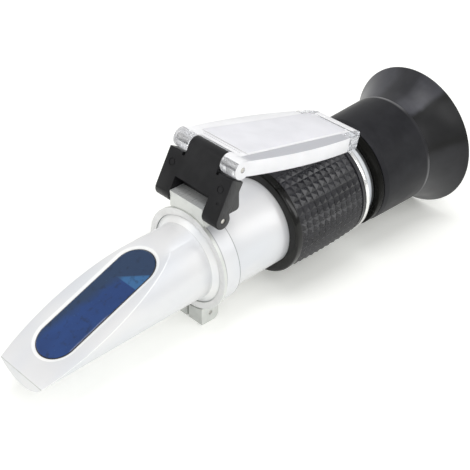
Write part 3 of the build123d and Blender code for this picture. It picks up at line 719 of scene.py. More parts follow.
def roughen(tree, shader, value, low, high, smoothest, roughest):
    """Roughness that runs between two levels as value runs from low to high."""
    level = graded(tree, value, low, high, smoothest, roughest)
    tree.links.new(level, shader.inputs["Roughness"])


def relief(tree, shader, height, depth, strength):
    """Bump of one depth."""
    inputs = {"Height": height, "Distance": depth, "Strength": strength}
    tree.links.new(node(tree, "Bump", inputs).outputs[0], shader.inputs["Normal"])


def overpaint(material, mask, colour, blend="MIX"):
    """Lays a colour over a finish's own one where the mask is 1; MULTIPLY darkens by it."""
    tree = material.node_tree
    base = tree.nodes["Principled BSDF"].inputs["Base Color"]
    tree.links.new(blended(tree, mask, base.links[0].from_socket, colour, blend), base)
    return material


def placed(tree, matrix):
    """A surface point in another frame."""
    back = matrix.inverted()
    seat = {"Location": back.translation, "Rotation": back.to_euler()}
    seat["Vector"] = node(tree, "TexCoord").outputs["Object"]
    return node(tree, "Mapping", seat).outputs[0]


def parts(tree, matrix):
    """X, Y and Z of a surface point in another frame."""
    return node(tree, "SeparateXYZ", {"Vector": placed(tree, matrix)}).outputs


def away_from(tree, place):
    """How far a surface point is along the tube from one place."""
    return maths(tree, "ABSOLUTE", maths(tree, "SUBTRACT", parts(tree, BENCH)["X"], place))


def round_levels(tree, stops):
    """Levels around the tube, from the bottom by way of its near side, its top and its far side."""
    spot = parts(tree, BENCH)
    wander = graded(tree, cloud(tree, 5 * MM), 0.3, 0.7, -0.6 * MM, 0.6 * MM)
    around = maths(tree, "ARCTAN2", maths(tree, "ADD", spot["Y"], wander), spot["Z"])
    return levels(tree, graded(tree, around, -math.pi, math.pi), stops, "EASE")


def satin_metal(name, base, roughness, grain, metallic=0.30, shade_lines=()):
    """Pearl-anodised aluminium: soft patches, and fine grain drawn out along the tube.

    Where turned edges meet it has fine lines of painted shade around the tube, each a place along it, half a width
    and a level.
    """
    material, tree, shader = start_finish(name, base, roughness, metallic)
    cooler = (base[0] * 0.92, base[1] * 0.94, base[2] * 0.97)
    mottle(tree, shader, cloud(tree, 12 * MM, 1.0, (0.5, 1, 1)), 0.40, 0.68, base, cooler)
    fine = cloud(tree, grain, 3.0, (0.06, 1, 1))
    roughen(tree, shader, fine, 0.3, 0.7, roughness - 0.04, roughness + 0.06)
    relief(tree, shader, fine, 0.003 * MM, 0.4)
    # painted shade in the corners where turned edges meet
    for place, half, level in shade_lines:
        mask = graded(tree, away_from(tree, place), half * 0.5, half, 1.0, 0.0)
        overpaint(material, mask, (level, level, level), "MULTIPLY")
    return material


def blasted_metal(name, base):
    """Bead-blasted aluminium: small even dimples and slight handling marks."""
    material, tree, shader = start_finish(name, base, 0.42, 0.30)
    dimples = cloud(tree, 0.16 * MM, 3.0)
    mottle(tree, shader, cloud(tree, 4 * MM, 3.0), 0.45, 0.75, base, darker(base, 0.88))
    roughen(tree, shader, dimples, 0.3, 0.7, 0.32, 0.44)
    relief(tree, shader, dimples, 0.012 * MM, 0.6)
    return material


def turned_metal(name, base, roughness):
    """Bright turned metal: fine tool lines around the tube."""
    material, tree, shader = start_finish(name, base, roughness, 1.0)
    tool_lines = cloud(tree, 0.10 * MM, 1.0, (1, 0.02, 0.02))
    mottle(tree, shader, cloud(tree, 5 * MM), 0.4, 0.7, base, darker(base, 0.90))
    roughen(tree, shader, tool_lines, 0.3, 0.7, roughness * 0.8, roughness * 1.4)
    relief(tree, shader, tool_lines, 0.003 * MM, 0.5)
    return material


def plain_metal(name, base, roughness):
    """Small metal parts: rolled or turned, with faint scratches."""
    material, tree, shader = start_finish(name, base, roughness, 1.0)
    scratches = cloud(tree, 0.2 * MM, 4.0, (0.2, 1, 1))
    mottle(tree, shader, cloud(tree, 2 * MM), 0.4, 0.75, base, darker(base, 0.82))
    roughen(tree, shader, scratches, 0.35, 0.7, roughness * 0.8, roughness * 1.5)
    relief(tree, shader, scratches, 0.003 * MM, 0.4)
    return material


def prism_glass(name):
    """Polished prism: deep blue, with painted reflections of its inner faces: slate along its far side and top,
    and one lighter facet.
    """
    colours = settings().finish
    material, tree, shader = start_finish(name, colours.prism, 0.05, IOR=1.46, Coat_Weight=0.0)
    place = placed(tree, BENCH @ slant_matrix())
    waver = cloud(tree, 3 * MM)

    def side_of(line, soft, wander=0.0):
        """1 to the left of a line on the slanted face, 0 to its right."""
        start, end = line
        run = Vector(end) - Vector(start)
        left = Vector((-run.y, run.x, 0)).normalized()
        aim = {0: place, 1: left}
        level = node(tree, "VectorMath", aim, operation="DOT_PRODUCT").outputs["Value"]
        level = maths(tree, "ADD", level, graded(tree, waver, 0.3, 0.7, -wander, wander))
        middle = left.x * start[0] + left.y * start[1]
        return graded(tree, level, middle - soft, middle + soft)

    # painted reflections: slate along the far side and top, a lighter inner facet beyond
    far_side = side_of(PRISM_FAR_SIDE, 1.5 * MM, 0.6 * MM)
    beyond = side_of(PRISM_FACET, 0.15 * MM)
    top = maths(tree, "MULTIPLY", side_of(PRISM_TOP, 0.25 * MM), beyond)
    slate = maths(tree, "MAXIMUM", far_side, top)
    depth = graded(tree, cloud(tree, 7 * MM, 2.0, (0.4, 1, 1)), 0.35, 0.75)
    blue = blended(tree, depth, colours.prism, darker(colours.prism, 1.3))
    body = blended(tree, slate, blended(tree, beyond, blue, colours.facet), colours.slate)
    blotch = graded(tree, cloud(tree, 1.6 * MM, 3.0), 0.56, 0.70, 0.0, 0.55)
    body = blended(tree, blotch, body, darker(colours.slate, 0.55))
    specks = cloud(tree, 0.55 * MM)
    mottle(tree, shader, specks, 0.68, 0.76, body, darker(colours.facet, 0.8), 0.5)
    roughen(tree, shader, cloud(tree, 2.5 * MM, 4.0), 0.45, 0.75, 0.03, 0.09)
    return material


def lens_glass(name):
    """Coated lens glass, nearly clear, with a faint green reflection."""
    clear = (0.95, 0.97, 0.96)
    material, tree, shader = start_finish(
        name, clear, 0.01, IOR=1.52, Transmission_Weight=1.0, Coat_Weight=0.5
    )
    roughen(tree, shader, cloud(tree, 0.8 * MM, 4.0), 0.60, 0.80, 0.01, 0.05)
    mottle(tree, shader, cloud(tree, 9 * MM), 0.3, 0.7, clear, (0.93, 0.97, 0.99))
    return material


def moulded_black(name, base, roughness, texture_size, texture_depth, shine=0.5, sheen=0.0):
    """Black plastic or rubber with a fine moulded texture and slightly worn high spots."""
    material, tree, shader = start_finish(
        name, base, roughness, Specular_IOR_Level=shine, Sheen_Weight=sheen
    )
    wear = cloud(tree, 6 * MM, 3.0)
    mottle(tree, shader, wear, 0.42, 0.72, base, worn(base, 1.35, 0.004))
    roughen(tree, shader, wear, 0.3, 0.7, roughness - 0.05, roughness + 0.06)
    relief(tree, shader, cloud(tree, texture_size, 3.0), texture_depth, 0.6)
    return material


def streaked_black(name, base):
    """Sawn end faces of the black bracket: paler, with fine upright streaks."""
    material, tree, shader = start_finish(name, base, 0.38, Specular_IOR_Level=0.5)
    streaks = cloud(tree, 0.35 * MM, 3.0, (1, 1, 0.12))
    mottle(tree, shader, streaks, 0.35, 0.65, base, worn(base, 2.6, 0.006))
    roughen(tree, shader, streaks, 0.3, 0.7, 0.30, 0.46)
    relief(tree, shader, streaks, 0.02 * MM, 0.7)
    return material


def gloss_black(name, base, shine, roughness):
    """Polished black with faint swirl marks and a little dust."""
    material, tree, shader = start_finish(name, base, roughness, Specular_IOR_Level=shine)
    swirls = cloud(tree, 0.5 * MM, 4.0, (1, 0.3, 0.3))
    roughen(tree, shader, swirls, 0.4, 0.75, roughness * 0.8, roughness * 1.4)
    mottle(tree, shader, cloud(tree, 0.25 * MM), 0.66, 0.80, base, (0.02, 0.02, 0.02), 0.5)
    return material


def glinting_bead(name, base, bright):
    """Bead round the eyecup's waist, with a painted glint along its crest in two places."""
    material = moulded_black(name, base, 0.38, 0.12 * MM, 0.004 * MM, 0.20)
    tree = material.node_tree
    size = settings().eyepiece
    off_crest = away_from(tree, size.waist - size.waist_bead * 0.35)
    near = graded(tree, off_crest, 0.2 * MM, size.waist_bead * 0.6, 1.0, 0.0)
    # painted glint along the crest, at the bead's top and low down
    mask = maths(tree, "MULTIPLY", near, round_levels(tree, WAIST_GLINTS))
    return overpaint(material, mask, bright)


def smeared_and_highlit_rubber(name, base):
    """Soft eyecup rubber with dark smears drawn out down the flare, and painted highlights and sheen on it."""
    material = moulded_black(name, base, 0.38, 0.12 * MM, 0.004 * MM, 0.28, 0.12)
    # levels over 1 are painted highlights and sheen; levels under 1 are dark smears
    smears_and_highlights = round_levels(material.node_tree, FLARE_SMEARS_AND_HIGHLIGHTS)
    return overpaint(material, 1.0, smears_and_highlights, "MULTIPLY")


def pass_light(material):
    """Lets most of the lamps' light through, as clear plastic does."""
    tree = material.node_tree
    shader, output = tree.nodes["Principled BSDF"], tree.nodes["Material Output"]
    rays = node(tree, "LightPath").outputs
    soft = maths(tree, "MAXIMUM", rays["Is Shadow Ray"], rays["Is Diffuse Ray"])
    passed = maths(tree, "MULTIPLY", soft, LIGHT_THROUGH)
    clear = node(tree, "BsdfTransparent").outputs[0]
    mixed = node(tree, "MixShader", {0: passed, 1: shader.outputs[0], 2: clear}).outputs[0]
    tree.links.new(mixed, output.inputs["Surface"])
    return material


def clear_plastic(name, roughness, clearness, shade=1.0):
    """Clear moulded acrylic with the slightest flow lines."""
    pale, deep = darker((0.95, 0.955, 0.98), shade), darker((0.91, 0.925, 0.96), shade)
    material, tree, shader = start_finish(
        name, pale, roughness, IOR=ACRYLIC_IOR, Transmission_Weight=clearness
    )
    flow = cloud(tree, 6 * MM, 2.0, (0.4, 1, 1))
    mottle(tree, shader, flow, 0.35, 0.7, pale, deep)
    roughen(tree, shader, flow, 0.4, 0.7, roughness * 0.8, roughness * 1.3)
    relief(tree, shader, flow, 0.01 * MM, 0.2)
    return pass_light(material)


def frosted_plastic(name, base):
    """Frosted faces of the daylight plate: milky, evenly rough, faintly uneven."""
    material, tree, shader = start_finish(
        name, base, 0.55, IOR=ACRYLIC_IOR, Transmission_Weight=0.10
    )
    grain = cloud(tree, 0.12 * MM)
    mottle(tree, shader, cloud(tree, 8 * MM), 0.35, 0.7, base, darker(base, 0.93))
    roughen(tree, shader, grain, 0.3, 0.7, 0.48, 0.62)
    relief(tree, shader, grain, 0.006 * MM, 0.4)
    return pass_light(material)


def shaded_rim(name, base, shaded):
    """Milky rim of the daylight plate; the land along one side of its pad lies in its own shade."""
    material = frosted_plastic(name, base)
    tree = material.node_tree
    size = settings().plate
    spot = parts(tree, BENCH @ plate_matrix())
    taper = (size.pad_end_half - size.pad_start_half) / (size.pad_end - size.pad_start)
    inward = maths(tree, "ADD", spot["Y"], maths(tree, "MULTIPLY", spot["X"], taper))
    pad_edge = size.pad_start_half - taper * size.pad_start
    land = size.pad_face - size.pad_raise
    beside = graded(tree, inward, -pad_edge, -pad_edge - 0.1 * MM)
    begun = graded(tree, spot["X"], -0.8 * MM, 3.2 * MM)
    on_top = graded(tree, spot["Z"], land - 0.05 * MM, land - 0.01 * MM)
    mask = maths(tree, "MULTIPLY", maths(tree, "MULTIPLY", beside, begun), on_top)
    return overpaint(material, mask, shaded)


def finish_makers():
    """How each slot of the record, and each finish of some of a piece's faces, is made."""
    groups = settings()
    colours, collar = groups.finish, groups.collar
    grain = 0.10 * MM
    # painted shade: where the head meets the cone, on the neck behind the lip and under the bead, and at the
    # band's edges
    cone_shade_lines = ((groups.head.rear, 0.16 * MM, 0.72),)
    neck_shade_lines = (
        (groups.tube.lip_rear + 1.6 * MM, 0.45 * MM, 0.62),
        (groups.eyepiece.bead_front - 0.25 * MM, 0.60 * MM, 0.12),
    )
    band_shade_lines = (
        (collar.front + collar.lip_width + 0.58 * MM, 0.22 * MM, 0.60),
        (collar.rear - 0.10 * MM, 0.22 * MM, 0.50),
    )
    return {
        "satin_aluminium": (satin_metal, colours.satin, 0.40, grain),
        # bright bevel round the window, and painted highlight on the head's and the boss's rounded edges
        "bright_bevel": (satin_metal, colours.bevel, 0.30, grain, 0.05),
        "bright_cone": (satin_metal, colours.cone, 0.32, grain, 0.20, cone_shade_lines),
        "bright_neck": (satin_metal, colours.neck, 0.40, grain, 0.15, neck_shade_lines),
        "collar_band": (satin_metal, colours.satin, 0.40, grain, 0.30, band_shade_lines),
        # painted highlight on the collar's rounded edges facing forward
        "collar_edge": (satin_metal, colours.bevel, 0.26, grain, 0.50),
        "boss_top": (satin_metal, colours.boss, 0.30, 0.25 * MM, 0.55),
        "blasted_aluminium": (blasted_metal, colours.blasted),
        # painted shade: blasted aluminium darkened on the lug's front faces and at the head's tip
        "shaded_front": (blasted_metal, darker(colours.blasted, 0.82)),
        "collar_lip": (blasted_metal, colours.lip),
        "bright_aluminium": (turned_metal, colours.bright, 0.16),
        "steel": (plain_metal, (0.60, 0.585, 0.55), 0.28),
        "bimetal": (plain_metal, (0.60, 0.50, 0.36), 0.32),
        "brass": (plain_metal, (0.78, 0.60, 0.28), 0.28),
        "prism_glass": (prism_glass,),
        "optical_glass": (lens_glass,),
        "dark_sealant": (moulded_black, (0.012, 0.012, 0.014), 0.45, 0.3 * MM, 0.01 * MM),
        "black_anodised": (moulded_black, (0.012, 0.012, 0.013), 0.50, 0.1 * MM, 0.004 * MM),
        "o_ring_rubber": (moulded_black, (0.015, 0.015, 0.015), 0.35, 0.2 * MM, 0.004 * MM),
        "black_plastic": (moulded_black, colours.bracket, 0.42, 0.14 * MM, 0.008 * MM, 0.22),
        "grip_rubber": (moulded_black, colours.rubber, 0.28, 0.10 * MM, 0.005 * MM, 0.5),
        "eyecup_rubber": (moulded_black, colours.eyecup, 0.42, 0.12 * MM, 0.004 * MM, 0.15),
        "bracket_side": (streaked_black, colours.bracket),
        "waist_bead": (glinting_bead, colours.eyecup, colours.waist),
        "flare_rubber": (smeared_and_highlit_rubber, colours.eyecup),
        "gloss_black": (gloss_black, colours.gloss, 0.28, 0.13),
        "bead_black": (gloss_black, colours.gloss, 0.05, 0.30),
        "clear_acrylic": (clear_plastic, 0.06, 0.88),
        "knuckle_clear": (clear_plastic, 0.15, 0.86, 0.84),
        "frosted_panel": (frosted_plastic, colours.frost),
        "frosted_rim": (shaded_rim, colours.milk, colours.land),
    }


def finish(slot):
    """The material of one slot, or of some of a piece's faces, made when first asked for."""
    name = "finish_" + slot
    made = bpy.data.materials.get(name)
    if made:
        return made
    maker, *values = finish_makers()[slot]
    return maker(name, *values)


# ---- places on the head, the bracket and the plate ----------------------------------------------
def on_slant(along, across=0.0, depth=0.0):
    """A point of the prism's face: up the slope from its lower edge, across, and below it."""
    head = settings().head
    run, rise = math.cos(head.slant), math.sin(head.slant)
    x = head.tip + along * run + depth * rise
    z = head.slant_height + along * rise - depth * run
    return Vector((x, across, z))


def slant_matrix():
    """Axes of the prism's face: X up the slope from its lower edge, Z out of the head."""
    head = settings().head
    turn = Matrix.Rotation(-head.slant, 4, "Y")
    return Matrix.Translation((head.tip, 0, head.slant_height)) @ turn


def window_middles():
    """Middles of the window's two round ends, along the slanted face."""
    head = settings().head
    return head.window_start + head.window_half, head.window_end - head.window_half


def off_window(along, across):
    """The nearest place on the window's middle line to a point of the face, and the way from it."""
    low, high = window_middles()
    middle = min(max(along, low), high)
    return middle, Vector((along - middle, across))


def pinned(along, out):
    """Side-view point on the open bracket: along the line of the pins, and out of its front."""
    run, rise = math.cos(PIN_LINE_LEAN), math.sin(PIN_LINE_LEAN)
    return (LOWER_PIN.x + along * run - out * rise, LOWER_PIN.z + along * rise + out * run)


def plate_matrix():
    """The open plate's own axes: X along it from the pin, Z out of its face for the prism."""
    x, z = pinned(settings().hinge.pin_spacing, 0)
    turn = Matrix.Rotation(PLATE_SLOPE, 4, "Y")
    return Matrix.Translation((x, 0, z)) @ turn


# ---- pieces -------------------------------------------------------------------------------------
class BuildHead(bpy.types.Operator):
    """Head of satin aluminium, cut off at a slant, with its pocket and bevel"""

    bl_idname = "refractometer.head"
    bl_label = "Prism head"

    CUT_STEPS = 160
    BELLY_STEPS = 64
    CHORD_STEPS = 12

    def body(self, bm):
        """Outside and bores; gives back the slanted face's edge, and its points' places there."""
        head = settings().head
        turn = math.acos(head.slant_height / head.radius)
        upper = [turn * (2 * step / self.CUT_STEPS - 1) for step in range(self.CUT_STEPS + 1)]
        gap = 2 * (math.pi - turn)
        lower = [turn + gap * step / self.BELLY_STEPS for step in range(1, self.BELLY_STEPS)]
        cut_edge, places = [], []
        for t in upper:
            y, z = head.radius * math.sin(t), head.radius * math.cos(t)
            x = head.tip + (z - head.slant_height) / math.tan(head.slant)
            cut_edge.append(bm.verts.new((x, y, z)))
            places.append(((x - head.tip) / math.cos(head.slant), y))
        belly = ring(bm, head.tip, head.radius, lower)
        skin(
            bm,
            cut_edge + belly,
            ring(bm, head.rear, head.radius, upper + lower),
            ring(bm, head.shoulder_rear, head.shoulder_radius, upper + lower),
            ring(bm, head.shoulder_rear, head.spigot_bore, upper + lower),
            ring(bm, head.rear, head.light_bore, upper + lower),
            [bm.verts.new((head.rear, 0, 0))],
        )
        chord = []
        half_chord = head.radius * math.sin(turn)
        for step in range(1, self.CHORD_STEPS):
            y = half_chord * (1 - 2 * step / self.CHORD_STEPS)
            chord.append(bm.verts.new((head.tip, y, head.slant_height)))
            places.append((0.0, y))
        bm.faces.new(belly + cut_edge[:1] + list(reversed(chord)) + cut_edge[-1:])
        return cut_edge + chord, places

    def window_ring(self, bm, places, grow, depth):
        """The window's outline, grown outwards, with a vertex nearest to each place."""
        half = settings().head.window_half
        verts = []
        for place in places:
            middle, way = off_window(*place)
            way = way.normalized() * (half + grow)
            verts.append(bm.verts.new(on_slant(middle + way.x, way.y, depth)))
        return verts

    def finish_of(self, face):
        """Name of one face's finish."""
        head = settings().head
        if face.center.x > head.rear + 0.05 * MM:
            return "bright_cone"
        spot = slant_matrix().inverted() @ face.center
        # painted shade on the rounded edge at the tip of the slanted face
        if spot.x < head.edge and spot.z > -head.edge:
            return "shaded_front"
        reach = off_window(spot.x, spot.y)[1].length - head.window_half
        on_bevel = -0.2 * MM < reach < head.window_bevel + 0.1 * MM
        if on_bevel and -head.bevel_depth - 0.05 * MM < spot.z < -0.02 * MM:
            return "bright_bevel"
        # painted highlight: the slanted face's rounded edges take the bevel's bright finish
        on_edge = reach > head.window_bevel + 0.2 * MM and -head.edge < spot.z < -0.005 * MM
        if on_edge and head.edge < spot.x < head.window_end:
            return "bright_bevel"
        return "satin_aluminium"

    def execute(self, context):
        head = settings().head
        bm = bmesh.new()
        face_edge, places = self.body(bm)
        bevel_top = self.window_ring(bm, places, head.window_bevel, 0)
        bevel_foot = self.window_ring(bm, places, 0, head.bevel_depth)
        pocket = self.window_ring(bm, places, 0, head.pocket_depth)
        floor = self.window_ring(bm, places, -head.window_half * 0.5, head.pocket_depth)
        skin(bm, face_edge, bevel_top, bevel_foot, pocket, floor)
        bm.faces.new(floor)
        made = piece("prism_head", bm)
        bevelled(made, head.edge, 35)
        dress(made, "root", ["prism_housing"], "satin_aluminium", self.finish_of)
        return {"FINISHED"}


class BuildPrism(bpy.types.Operator):
    """Face of the prism and the seal around it"""

    bl_idname = "refractometer.prism"
    bl_label = "Prism and seal"

    END_STEPS = 48

    def window_ring(self, bm, shrink, depth):
        """The window's outline, made smaller by shrink, at one depth."""
        radius = settings().head.window_half - shrink
        low, high = window_middles()
        verts = []
        for middle, start in ((high, -0.5), (low, 0.5)):
            for step in range(self.END_STEPS + 1):
                t = math.pi * (step / self.END_STEPS + start)
                place = on_slant(middle + radius * math.cos(t), radius * math.sin(t), depth)
                verts.append(bm.verts.new(place))
        return verts

    def execute(self, context):
        size = settings().prism
        bm = bmesh.new()
        top = self.window_ring(bm, size.gap + size.edge, 0.0)
        edge = self.window_ring(bm, size.gap, size.edge_depth)
        foot = self.window_ring(bm, size.gap, size.foot)
        skin(bm, top, edge, foot)
        bm.faces.new(top)
        bm.faces.new(foot)
        dress(piece("prism_face", bm), "root", ["main_prism"], "prism_glass")
        bm = bmesh.new()
        loops = [
            self.window_ring(bm, size.seal_gap, size.seal_outer_top),
            self.window_ring(bm, size.seal_inner, size.seal_top),
            self.window_ring(bm, size.seal_inner, size.seal_foot),
            self.window_ring(bm, size.seal_gap, size.seal_foot),
        ]
        skin(bm, *loops, loops[0])
        dress(piece("prism_seal_bead", bm), "root", ["prism_seal"], "dark_sealant")
        return {"FINISHED"}


class BuildCollar(bpy.types.Operator):
    """Blasted clamp ring with the hinge boss on top and the clamp lug below"""

    bl_idname = "refractometer.collar"
    bl_label = "Hinge collar"

    def finish_of(self, face):
        """Name of one face's finish."""
        size = settings().collar
        x, y, z = face.center
        out = math.hypot(y, z)
        forward = -face.normal.x
        behind_lip = x > size.front + size.lip_width - 0.05 * MM
        if behind_lip and abs(out - size.band_radius) < 0.1 * MM:
            return "collar_band"
        # painted highlight on rounded edges facing forward, brightest along the boss's top
        if 0.2 < forward < 0.97 and out > size.bore + 0.5 * MM:
            return "bright_bevel" if z > size.boss_top - size.edge * 1.1 else "collar_edge"
        # painted shade on the lug's front faces
        if forward > 0.97 and z < -size.lip_radius:
            return "shaded_front"
        if forward > 0.97 and out < size.lip_radius and x < size.front + 0.1 * MM:
            return "collar_lip"
        if z > size.boss_top - 0.01 * MM and face.normal.z > 0.97:
            return "boss_top"
        return "blasted_aluminium"

    def execute(self, context):
        size = settings().collar
        lip_rear = size.front + size.lip_width
        lip = (size.front, size.lip_radius, lip_rear)
        section = stepped(*lip, size.band_radius, size.rear, size.bore)
        collar = revolved("hinge_collar_ring", section)
        root = (size.bore + 0.4 * MM) * 0.8  # inside the ring, where the bore is cut last
        half = size.boss_half
        boss = block("boss", (size.boss_front, size.rear), (-half, half), (root, size.boss_top))
        along = Vector(JOINTS["focus_travel"]["axis"])
        rear_bottom = size.lug_bottom + (size.lug_rear - size.lug_front) * (along.z / along.x)
        corners = [
            (size.lug_front, -size.lug_bottom),
            (size.lug_rear, -rear_bottom),
            (size.lug_rear, -root),
            (size.lug_front, -root),
        ]
        lug = cross_body("lug", rounded(corners, [0, size.lug_heel, 0, 0], 8), size.lug_half)
        fuse(collar, boss)
        fuse(collar, lug)
        ahead, behind = size.lug_front - OVERCUT, size.rear + OVERCUT
        skim = 0.005 * MM  # keeps the cutter's faces out of the collar's own
        groove_outer, groove_end = size.lip_radius + size.groove, size.front + size.groove_depth
        inside = (size.lip_radius + skim, size.front - skim, size.bore * 0.9)
        cut(collar, revolved("groove", stepped(ahead, groove_outer, groove_end, *inside)))
        cut(collar, revolved("bore", stepped(ahead, size.bore, behind, 0)))
        slit = size.slit / 2
        slit_heights = (-24 * MM, -10 * MM)  # from below the lug up into the bore
        cut(collar, block("slit", (ahead, behind), (-slit, slit), slit_heights))
        soften(collar, size.edge)
        axis = (size.lug_front + size.screw_setback, -size.screw_drop)
        past_lug = 9 * MM
        cut(collar, cross_rod("hole", axis, size.screw_hole, -past_lug, past_lug, 32))
        seat = size.lug_half - size.head_sink - size.head_height
        cut(collar, cross_rod("sink", axis, size.head_radius + FIT_GAP, seat, past_lug, 32))
        dress(
            collar, "root", ["hinge_collar"], "blasted_aluminium", self.finish_of, weighted=True
        )
        return {"FINISHED"}


class BuildBracket(bpy.types.Operator):
    """Black bracket of the double hinge, and both steel pins"""

    bl_idname = "refractometer.bracket"
    bl_label = "Hinge bracket and pins"

    def legs(self):
        """The bracket without its tongue: legs, web, wings and heel."""
        size = settings().hinge
        reach = size.front
        run, rise = math.cos(PIN_LINE_LEAN), math.sin(PIN_LINE_LEAN)
        heel_x, heel_z = LOWER_PIN.x + size.heel_reach, LOWER_PIN.z + size.heel_rise
        back_run = (size.heel_reach - size.back * rise) / run
        leg_rear = LOWER_PIN.x + math.sqrt(reach**2 - size.heel_rise**2)
        round_in = size.heel_round * (1 - math.sqrt(0.5))
        front = pinned(0, reach)
        wing = [front, pinned(size.wing_top, reach), pinned(size.wing_top, -size.back)]
        outline = [Vector(p) for p in wing + [pinned(back_run, -size.back)]]
        outline += arc(
            (heel_x, heel_z + size.heel_round),
            (heel_x - round_in, heel_z + round_in),
            (heel_x - size.heel_round, heel_z),
            6,
        )
        outline += arc((leg_rear, heel_z), pinned(-reach, 0), front, 24)[:-1]
        bracket = cross_body("hinge_bracket_body", outline, size.half_width)
        soften(bracket, size.edge)
        low = LOWER_PIN.z - 2 * reach
        step_x, step_z = pinned(size.web_start, size.web_step)
        notch = [
            pinned(size.web_start, 2 * reach),
            (step_x, step_z),
            (step_x, size.web_rest),
            (heel_x + reach, size.web_rest),
            (heel_x + reach, low),
            (LOWER_PIN.x - 4 * reach, low),
        ]
        return cut(bracket, cross_body("notch", notch, size.leg_inner))

    def tongue(self):
        """The tongue between the plate's knuckles."""
        size = settings().hinge
        reach, tip = size.front, size.pin_spacing
        root = size.wing_top - 0.7 * reach
        outline = [
            Vector(p) for p in (pinned(tip, -reach), pinned(root, -size.back), pinned(root, reach))
        ]
        crown = arc(pinned(tip, reach), pinned(tip + reach, 0), pinned(tip, -reach), 20)
        return soften(cross_body("tongue", outline + crown[:-1], size.tongue_half), 0.2 * MM)

    def mark(self, bracket):
        """Round moulding marks, the dimple, and the reliefs beside the tongue, in the front."""
        size = settings().hinge
        x, z = pinned(0, size.front)
        front = Matrix.Translation((x, 0, z)) @ Matrix.Rotation(-PIN_LINE_LEAN, 4, "Y")
        core_heights = (-0.5 * MM, -0.02 * MM)  # from inside the moulding to just below its face
        marks = [
            (size.mark_height, size.mark_aside, size.mark_radius),
            (size.mark_height, -size.mark_aside, size.mark_radius),
            (size.dimple_height, -size.dimple_aside, size.dimple_radius),
        ]
        for along, aside, radius in marks:
            groove = circle((along, aside), radius, 32)
            cut(bracket, extruded("mark", groove, -size.mark_depth, OVERCUT, front))
            core = circle((along, aside), radius - size.mark_groove, 32)
            fuse(bracket, extruded("core", core, *core_heights, front))
        relief_ends = (size.wing_top - 0.9 * MM, size.wing_top + 2 * MM)
        behind_wings = -9 * MM
        for side in (-1, 1):
            span = sorted((side * size.tongue_half, side * (size.tongue_half + size.corner_notch)))
            corners = rectangle(relief_ends, span)
            cut(bracket, extruded("corner notch", corners, behind_wings, OVERCUT, front))

    def finish_of(self, face):
        """Name of one face's finish."""
        at_end = abs(face.center.y) > settings().hinge.half_width - 0.2 * MM
        return "bracket_side" if at_end and abs(face.normal.y) > 0.9 else "black_plastic"

    def execute(self, context):
        size = settings().hinge
        bracket = fuse(self.legs(), self.tongue())
        self.mark(bracket)
        pins = {
            "lower_hinge_pin": (pinned(0, 0), size.half_width - size.pin_sink),
            "upper_hinge_pin": (pinned(size.pin_spacing, 0), size.upper_pin_half),
        }
        bore = size.pin_radius + FIT_GAP
        for place, end in pins.values():
            cut(bracket, cross_rod("pin hole", place, bore, -PIERCE, PIERCE, 32))
        dress(bracket, "bracket", ["hinge_bracket"], "black_plastic", self.finish_of)
        for name, (place, end) in pins.items():
            pin = cross_rod(name + "_rod", place, size.pin_radius, -end, end, edge=0.15 * MM)
            dress(pin, "bracket", [name], "steel")
        return {"FINISHED"}


